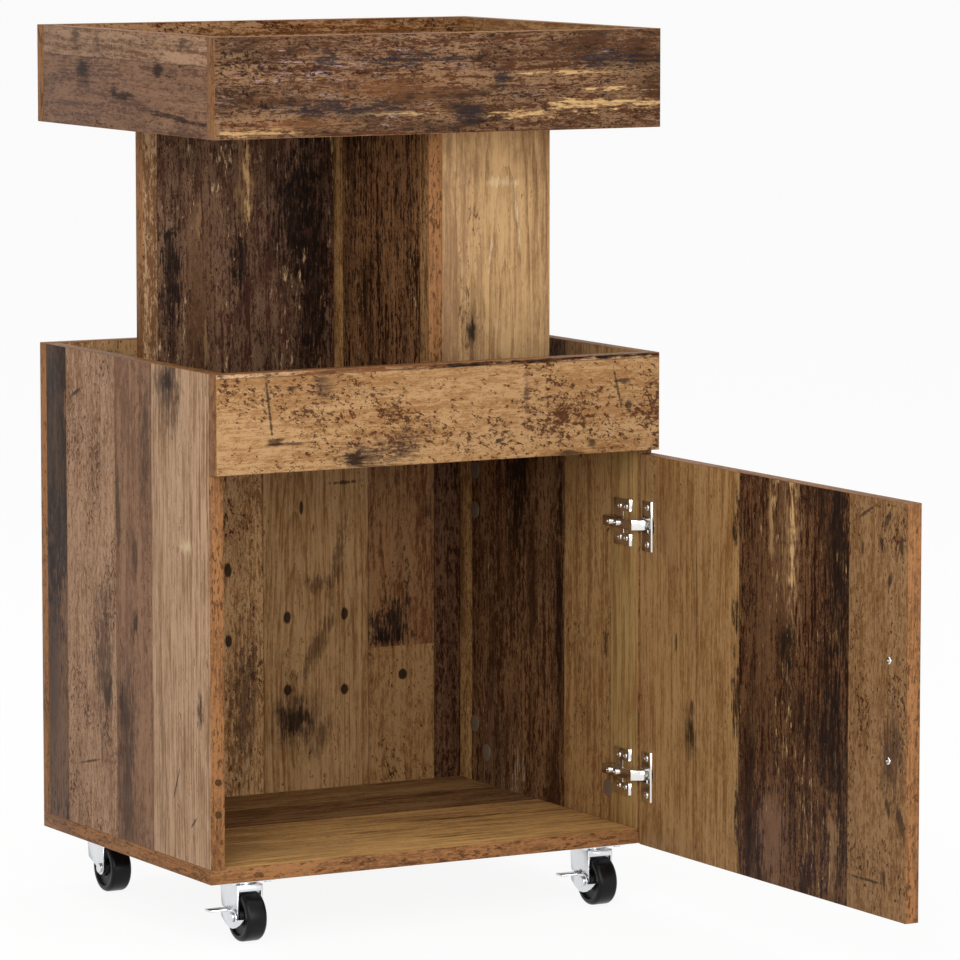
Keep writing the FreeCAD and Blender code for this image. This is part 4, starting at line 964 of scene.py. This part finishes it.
def laminate(node, *recesses):
    """A laminated board at the place of its node: eased edges, printed planks on its faces, bands round it."""
    low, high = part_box(node)
    piece = block(f"{node}_laminate", low, high)
    edit(piece)
    bpy.ops.mesh.bevel(offset=bpy.context.scene.cart_sizes.edge_ease, segments=2, affect="EDGES")
    lie, *names = PLANKED[node]
    shown = {name: PLANKS[name].get("limits", {LIES[lie][1]: PLANKS[name]["width"]}) for name in names}
    cuts = {(axis, value * MM) for limits in shown.values() for axis, pair in limits.items() for value in pair}
    for axis, value in sorted(cuts):
        place = SIDES[axis]
        if low[place] + PART_MARGIN < value < high[place] - PART_MARGIN:
            point, normal = Vector(), Vector()
            point[place], normal[place] = value, 1
            bpy.ops.mesh.select_all(action="SELECT")
            bpy.ops.mesh.bisect(plane_co=point, plane_no=normal)
    leave()
    cut_away(piece, *recesses)
    lay_planks(piece, lie, shown, dict(zip("XYZ", high - low)))
    smooth(piece, 30)
    stand_in(piece, node)


def lay_planks(piece, lie, shown, size):
    """Give each face of a board its plank, a mixed one out of sight or its edge band."""
    thin = min(size, key=size.get)
    spare = f"{thin}_level" if thin == "Z" or size["Z"] < LEVEL_BELOW else f"{thin}_up"

    def material_of(face):
        side = side_of(face.normal)
        for name, limits in shown.items() if side == LIES[lie][0] else ():
            if all(a * MM <= face.center[SIDES[axis]] <= b * MM for axis, (a, b) in limits.items()):
                return stored(name, plank_material, lie)
        if side and side[1] == thin:
            return mixed_planks(spare)
        run = max((axis for axis in size if axis != thin and not (side and axis == side[1])), key=size.get)
        return stored(f"edge_band_{run}", band_material, run)

    names = [material_of(face).name for face in piece.data.polygons]
    order = sorted(set(names))
    for name in order:
        piece.data.materials.append(bpy.data.materials[name])
    for face, name in zip(piece.data.polygons, names):
        face.material_index = order.index(name)


def eased_node(node, finish, width, segments=2, shape=None):
    """A copy in place of a node: merged to plain faces, shaped, eased by millimetres and finished."""
    alone(frame["nodes"][node])
    bpy.ops.object.duplicate()
    piece = bpy.context.active_object
    bpy.ops.object.parent_clear(type="CLEAR_KEEP_TRANSFORM")
    for key in [key for key in piece.keys() if key.startswith("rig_")]:
        del piece[key]
    piece.name = f"{node}_eased"
    edit(piece)
    bpy.ops.mesh.remove_doubles(threshold=0.000002)
    bpy.ops.mesh.dissolve_limited(angle_limit=math.radians(2))
    leave()
    if shape:
        shape(piece, node)
    ease_edges(piece, width, segments)
    complete(piece, finish, node)


def screw_head(place, head):
    """A head with a cross recess, standing out from a point against the X axis."""
    radius, rise = mm(*head)
    place, out = Vector(place), Vector((-rise, 0, 0))
    piece = disc("head", place + out / 2, "X", radius, rise, 32)
    edit(piece)
    pick(piece, "faces", lambda face: face.normal.x < -0.9)
    bpy.ops.mesh.bevel(offset=rise * 0.55, segments=4, affect="EDGES")
    leave()
    for wide, tall in ((0.52, 0.13), (0.13, 0.52)):
        half = Vector((rise * 0.55, radius * wide, radius * tall))
        cut_away(piece, block("recess", place + out - half, place + out + half))
    smooth(piece, 35)
    return piece


class CART_OT_cabinet_boards(bpy.types.Operator):
    """Laminated boards of the cabinet and its lower tray"""

    bl_idname = "cart.cabinet_boards"
    bl_label = "Cabinet boards"

    def execute(self, context):
        for node in ("bottom_board", "left_side_panel", "right_side_panel", "back_panel", "lower_tray_front"):
            laminate(node)
        dress_nodes(mixed_planks("Z_level"), "lower_tray_floor")
        return {"FINISHED"}


class CART_OT_column_boards(bpy.types.Operator):
    """Three laminated boards of the column"""

    bl_idname = "cart.column_boards"
    bl_label = "Column boards"

    def execute(self, context):
        for node in ("column_left_panel", "column_middle_panel", "column_right_panel"):
            laminate(node)
        return {"FINISHED"}


class CART_OT_top_tray(bpy.types.Operator):
    """Laminated boards of the top tray"""

    bl_idname = "cart.top_tray"
    bl_label = "Top tray"

    def execute(self, context):
        for node in ("top_tray_front", "top_tray_back", "top_tray_left_side", "top_tray_right_side"):
            laminate(node)
        dress_nodes(mixed_planks("Z_level"), "top_tray_floor")
        return {"FINISHED"}


class CART_OT_door(bpy.types.Operator):
    """Laminated door with the recesses for its hinge cups"""

    bl_idname = "cart.door"
    bl_label = "Door"

    def execute(self, context):
        recesses = []
        for hinge in HINGES:
            cup = f"{hinge}_hinge_cup"
            deep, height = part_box(cup)[1].x / MM, middle_of(cup).z / MM
            # A little wider than the drum, then a slot for the arm's nose
            recesses.append(disc("cup_recess", mm(deep - RECESS_MIDDLE, CUP, height), "X", *mm(*RECESS), 64))
            recesses.append(block("nose_recess", mm(WALL - 0.1, CUP, height - NOSE_HALF),
                                  mm(deep, NOSE_BACK, height + NOSE_HALF)))
        laminate("door_panel", *recesses)
        return {"FINISHED"}


def slope_front(piece, side, back):
    """Draw the front edge on the room side of a block back, in millimetres, so that its front slants."""
    front = min(vert.co.y for vert in piece.data.vertices)
    shift(piece, (0, back, 0), lambda place: place.x < side * MM + TOUCH and place.y < front + TOUCH)


def hinge_plate(height):
    """Mounting plate on the wall: two wings with slanted fronts, a bar under the arm and a tongue behind it."""
    piece = hinge_block("wings", height)
    slope_front(piece, PLATE, PLATE_SLANT)
    add_on(piece, hinge_block("tongue", height))
    cut_away(piece, hinge_block("notch", height))
    ease_edges(piece, 0.2)
    return piece


def hinge_arm(height):
    """Arm along the wall, with a slanted nose, the knuckle round the pin and a groove along each edge."""
    piece, nose = hinge_block("arm", height), hinge_block("nose", height)
    shift(nose, (0, NOSE_SLANT, 0), lambda place: place.x < ARM * MM + TOUCH)
    add_on(piece, nose, disc("knuckle", mm(*PIN, height), "Z", *mm(*KNUCKLE), 32))
    cut_away(piece, *(hinge_block("groove", height + place) for place in GROOVES))
    ease_edges(piece, 0.3)
    return piece


def hinge_cup(height):
    """Cup let into the door: flange with a slanted front, closed drum and the slot that takes the nose."""
    piece = hinge_block("flange", height)
    slope_front(piece, FLANGE, FLANGE_SLANT)
    add_on(piece, disc("drum", mm(DRUM_MIDDLE, CUP, height), "X", *mm(*DRUM), 64))
    cut_away(piece, hinge_block("slot", height), hinge_block("hollow", height))
    ease_edges(piece, 0.12)
    return piece


class CART_OT_hinges(bpy.types.Operator):
    """Mounting plates, arms, cups and screws of the two hinges"""

    bl_idname = "cart.hinges"
    bl_label = "Hinges"

    def execute(self, context):
        heights = [mm(0, 0, height) for height in HINGES.values()]
        for part, make in (("plate", hinge_plate), ("arm", hinge_arm), ("cup", hinge_cup)):
            for hinge, piece in zip(HINGES, repeat(make(HINGES["upper"]), heights)):
                node = f"{hinge}_hinge_{part}"
                piece.name = f"{node}_pressed"
                complete(piece, "nickel_steel", node)
        dress_nodes(finish_for("nickel_steel"), *(f"{hinge}_hinge_pin" for hinge in HINGES))
        for node, (head, spots) in HINGE_SCREWS.items():
            places = [mm(x, y, height + z) for x, y, z in spots for height in HINGES.values()]
            heads = repeat(screw_head(places[0], head), places)
            complete(join(f"{node}_heads", heads), "nickel_steel", node)
        return {"FINISHED"}


class CART_OT_handle(bpy.types.Operator):
    """Bar handle on the door's outer face, with its two screws on the inner face"""

    bl_idname = "cart.handle"
    bl_label = "Handle"

    def execute(self, context):
        eased_node("door_handle", "brushed_steel", 0.8, 3)
        middle = middle_of("handle_screws")
        places = [(WALL * MM, middle.y, middle.z + z * MM) for z in HANDLE_SCREWS]
        heads = repeat(screw_head(places[0], PAN_HEAD), places)
        complete(join("handle_screw_heads", heads), "nickel_steel", "handle_screws")
        return {"FINISHED"}


class CART_OT_caps_and_bumpers(bpy.types.Operator):
    """Cover caps over the cam locks and bumpers on the left side's front edge"""

    bl_idname = "cart.caps_and_bumpers"
    bl_label = "Caps and bumpers"

    def execute(self, context):
        eased_node("cover_caps", "grey_plastic", 0.5, 3)
        eased_node("door_bumpers", "dark_plastic", 0.8, 3)
        return {"FINISHED"}


class CART_OT_wheels(bpy.types.Operator):
    """Four wheels: rounded tread, hollow sides and hub"""

    bl_idname = "cart.wheels"
    bl_label = "Wheels"

    def execute(self, context):
        nodes = [f"{corner}_caster_wheel" for corner in CASTERS]
        places = [middle_of(node) for node in nodes]
        low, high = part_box(nodes[0])
        wheel = disc("wheel", places[0], "X", (high.y - low.y) / 2, WHEEL_WIDTH * MM, 72)
        edit(wheel)
        pick(wheel, "faces", lambda face: abs(face.normal.x) > 0.9)
        bpy.ops.mesh.bevel(offset=TREAD_ROUNDING * MM, segments=5, affect="EDGES")
        pick(wheel, "faces", lambda face: abs(face.normal.x) > 0.999)
        for inset, rise in WHEEL_SIDE:
            bpy.ops.mesh.inset(thickness=inset * MM, depth=rise * MM, use_individual=True)
        leave()
        ease_edges(wheel, 0.4, angle=35)
        for node, piece in zip(nodes, repeat(wheel, places)):
            piece.name = f"{node}_moulded"
            complete(piece, "black_plastic", node)
        return {"FINISHED"}


def broaden_legs(fork, node):
    """Draw the back corners of a fork's legs down, so that the legs stay broad towards the axle."""
    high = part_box(node)[1]
    shift(fork, LEG_MOVE, lambda place: place.y > high.y - 0.5 * MM and place.z < high.z - 5 * MM)


class CART_OT_casters(bpy.types.Operator):
    """Forks, plates, axles and brake levers of the casters"""

    bl_idname = "cart.casters"
    bl_label = "Casters"

    def execute(self, context):
        for corner in CASTERS:
            eased_node(f"{corner}_caster_fork", "zinc_steel", 0.6, shape=broaden_legs)
            eased_node(f"{corner}_caster_plate", "zinc_steel", 0.5)
            eased_node(f"{corner}_caster_axle", "zinc_steel", 0.6)
            if corner.startswith("front"):
                eased_node(f"{corner}_caster_brake_lever", "zinc_steel", 0.5)
        return {"FINISHED"}


class CART_OT_fasteners(bpy.types.Operator):
    """Finish of the cam locks, bolts, dowels and screws that stay as they are"""

    bl_idname = "cart.fasteners"
    bl_label = "Fasteners"

    def execute(self, context):
        dress_nodes(finish_for("zinc_steel"),
                    "cam_locks", "cam_bolts", "column_screws", "caster_screws", "caster_king_pins")
        dress_nodes(finish_for("beech"), "dowels")
        return {"FINISHED"}


def add_lamp(name, place, size, power):
    """A soft square lamp that looks at the middle of the cart."""
    bpy.ops.object.select_all(action="DESELECT")
    bpy.ops.object.light_add(type="AREA", location=place)
    item = bpy.context.active_object
    item.name = name
    item.data.shape = "SQUARE"
    item.data.size = size
    item.data.energy = power
    item.rotation_euler = (Vector(LAMP_AIM) - Vector(place)).to_track_quat("-Z", "Y").to_euler()


def place_camera(scene):
    """Camera at the photograph's viewing angle."""
    bpy.ops.object.select_all(action="DESELECT")
    turn = [math.radians(angle) for angle in CAMERA_TURN]
    bpy.ops.object.camera_add(location=CAMERA_PLACE, rotation=turn)
    item = bpy.context.active_object
    item.name = "photo_camera"
    item.data.sensor_fit = "HORIZONTAL"
    item.data.sensor_width = 36
    item.data.lens = scene.cart_sizes.lens
    item.data.clip_end = 200
    scene.camera = item


class CART_OT_stage(bpy.types.Operator):
    """Floor, lamps, white surroundings and the camera"""

    bl_idname = "cart.stage"
    bl_label = "Stage"

    def execute(self, context):
        scene = context.scene
        half = scene.cart_sizes.floor_size / 2
        floor = block("studio_floor", (-half, -half, -FLOOR_DEPTH), (half, half, 0))
        dress(floor, finish_for("floor"))
        for lamp in LAMPS:
            add_lamp(*lamp)
        scene.world = bpy.data.worlds.new("studio")
        tree = bare_tree(scene.world)
        soft, white = (wire(tree, "ShaderNodeBackground", {0: WHITE, 1: power}) for power in (0.5, 1))
        mixed = wire(tree, "ShaderNodeMixShader", {0: seen_factor(tree), 1: soft, 2: white})
        wire(tree, "ShaderNodeOutputWorld", {0: mixed})
        scene.view_settings.view_transform = "Standard"
        place_camera(scene)
        return {"FINISHED"}


class CART_PT_sidebar(bpy.types.Panel):
    """Sizes, colours and building steps of the serving cart"""

    bl_idname = "CART_PT_sidebar"
    bl_label = "Serving cart"
    bl_space_type = "VIEW_3D"
    bl_region_type = "UI"
    bl_category = "Serving cart"

    def draw(self, context):
        for group in (context.scene.cart_sizes, context.scene.cart_colours):
            for name in group.__annotations__:
                self.layout.prop(group, name)
        for step_class in STEPS:
            self.layout.operator(step_class.bl_idname)


STEPS = (
    CART_OT_cabinet_boards, CART_OT_column_boards, CART_OT_top_tray, CART_OT_door, CART_OT_hinges, CART_OT_handle,
    CART_OT_caps_and_bumpers, CART_OT_wheels, CART_OT_casters, CART_OT_fasteners, CART_OT_stage)
CLASSES = (CartSizes, CartColours) + STEPS + (CART_PT_sidebar,)


def register():
    for item in CLASSES:
        bpy.utils.register_class(item)
    bpy.types.Scene.cart_sizes = bpy.props.PointerProperty(type=CartSizes)
    bpy.types.Scene.cart_colours = bpy.props.PointerProperty(type=CartColours)


def unregister():
    del bpy.types.Scene.cart_colours
    del bpy.types.Scene.cart_sizes
    for item in reversed(CLASSES):
        bpy.utils.unregister_class(item)


def main():
    register()
    for step_class in STEPS:
        group, name = step_class.bl_idname.split(".")
        getattr(getattr(bpy.ops, group), name)()


if __name__ == "__main__":
    main()
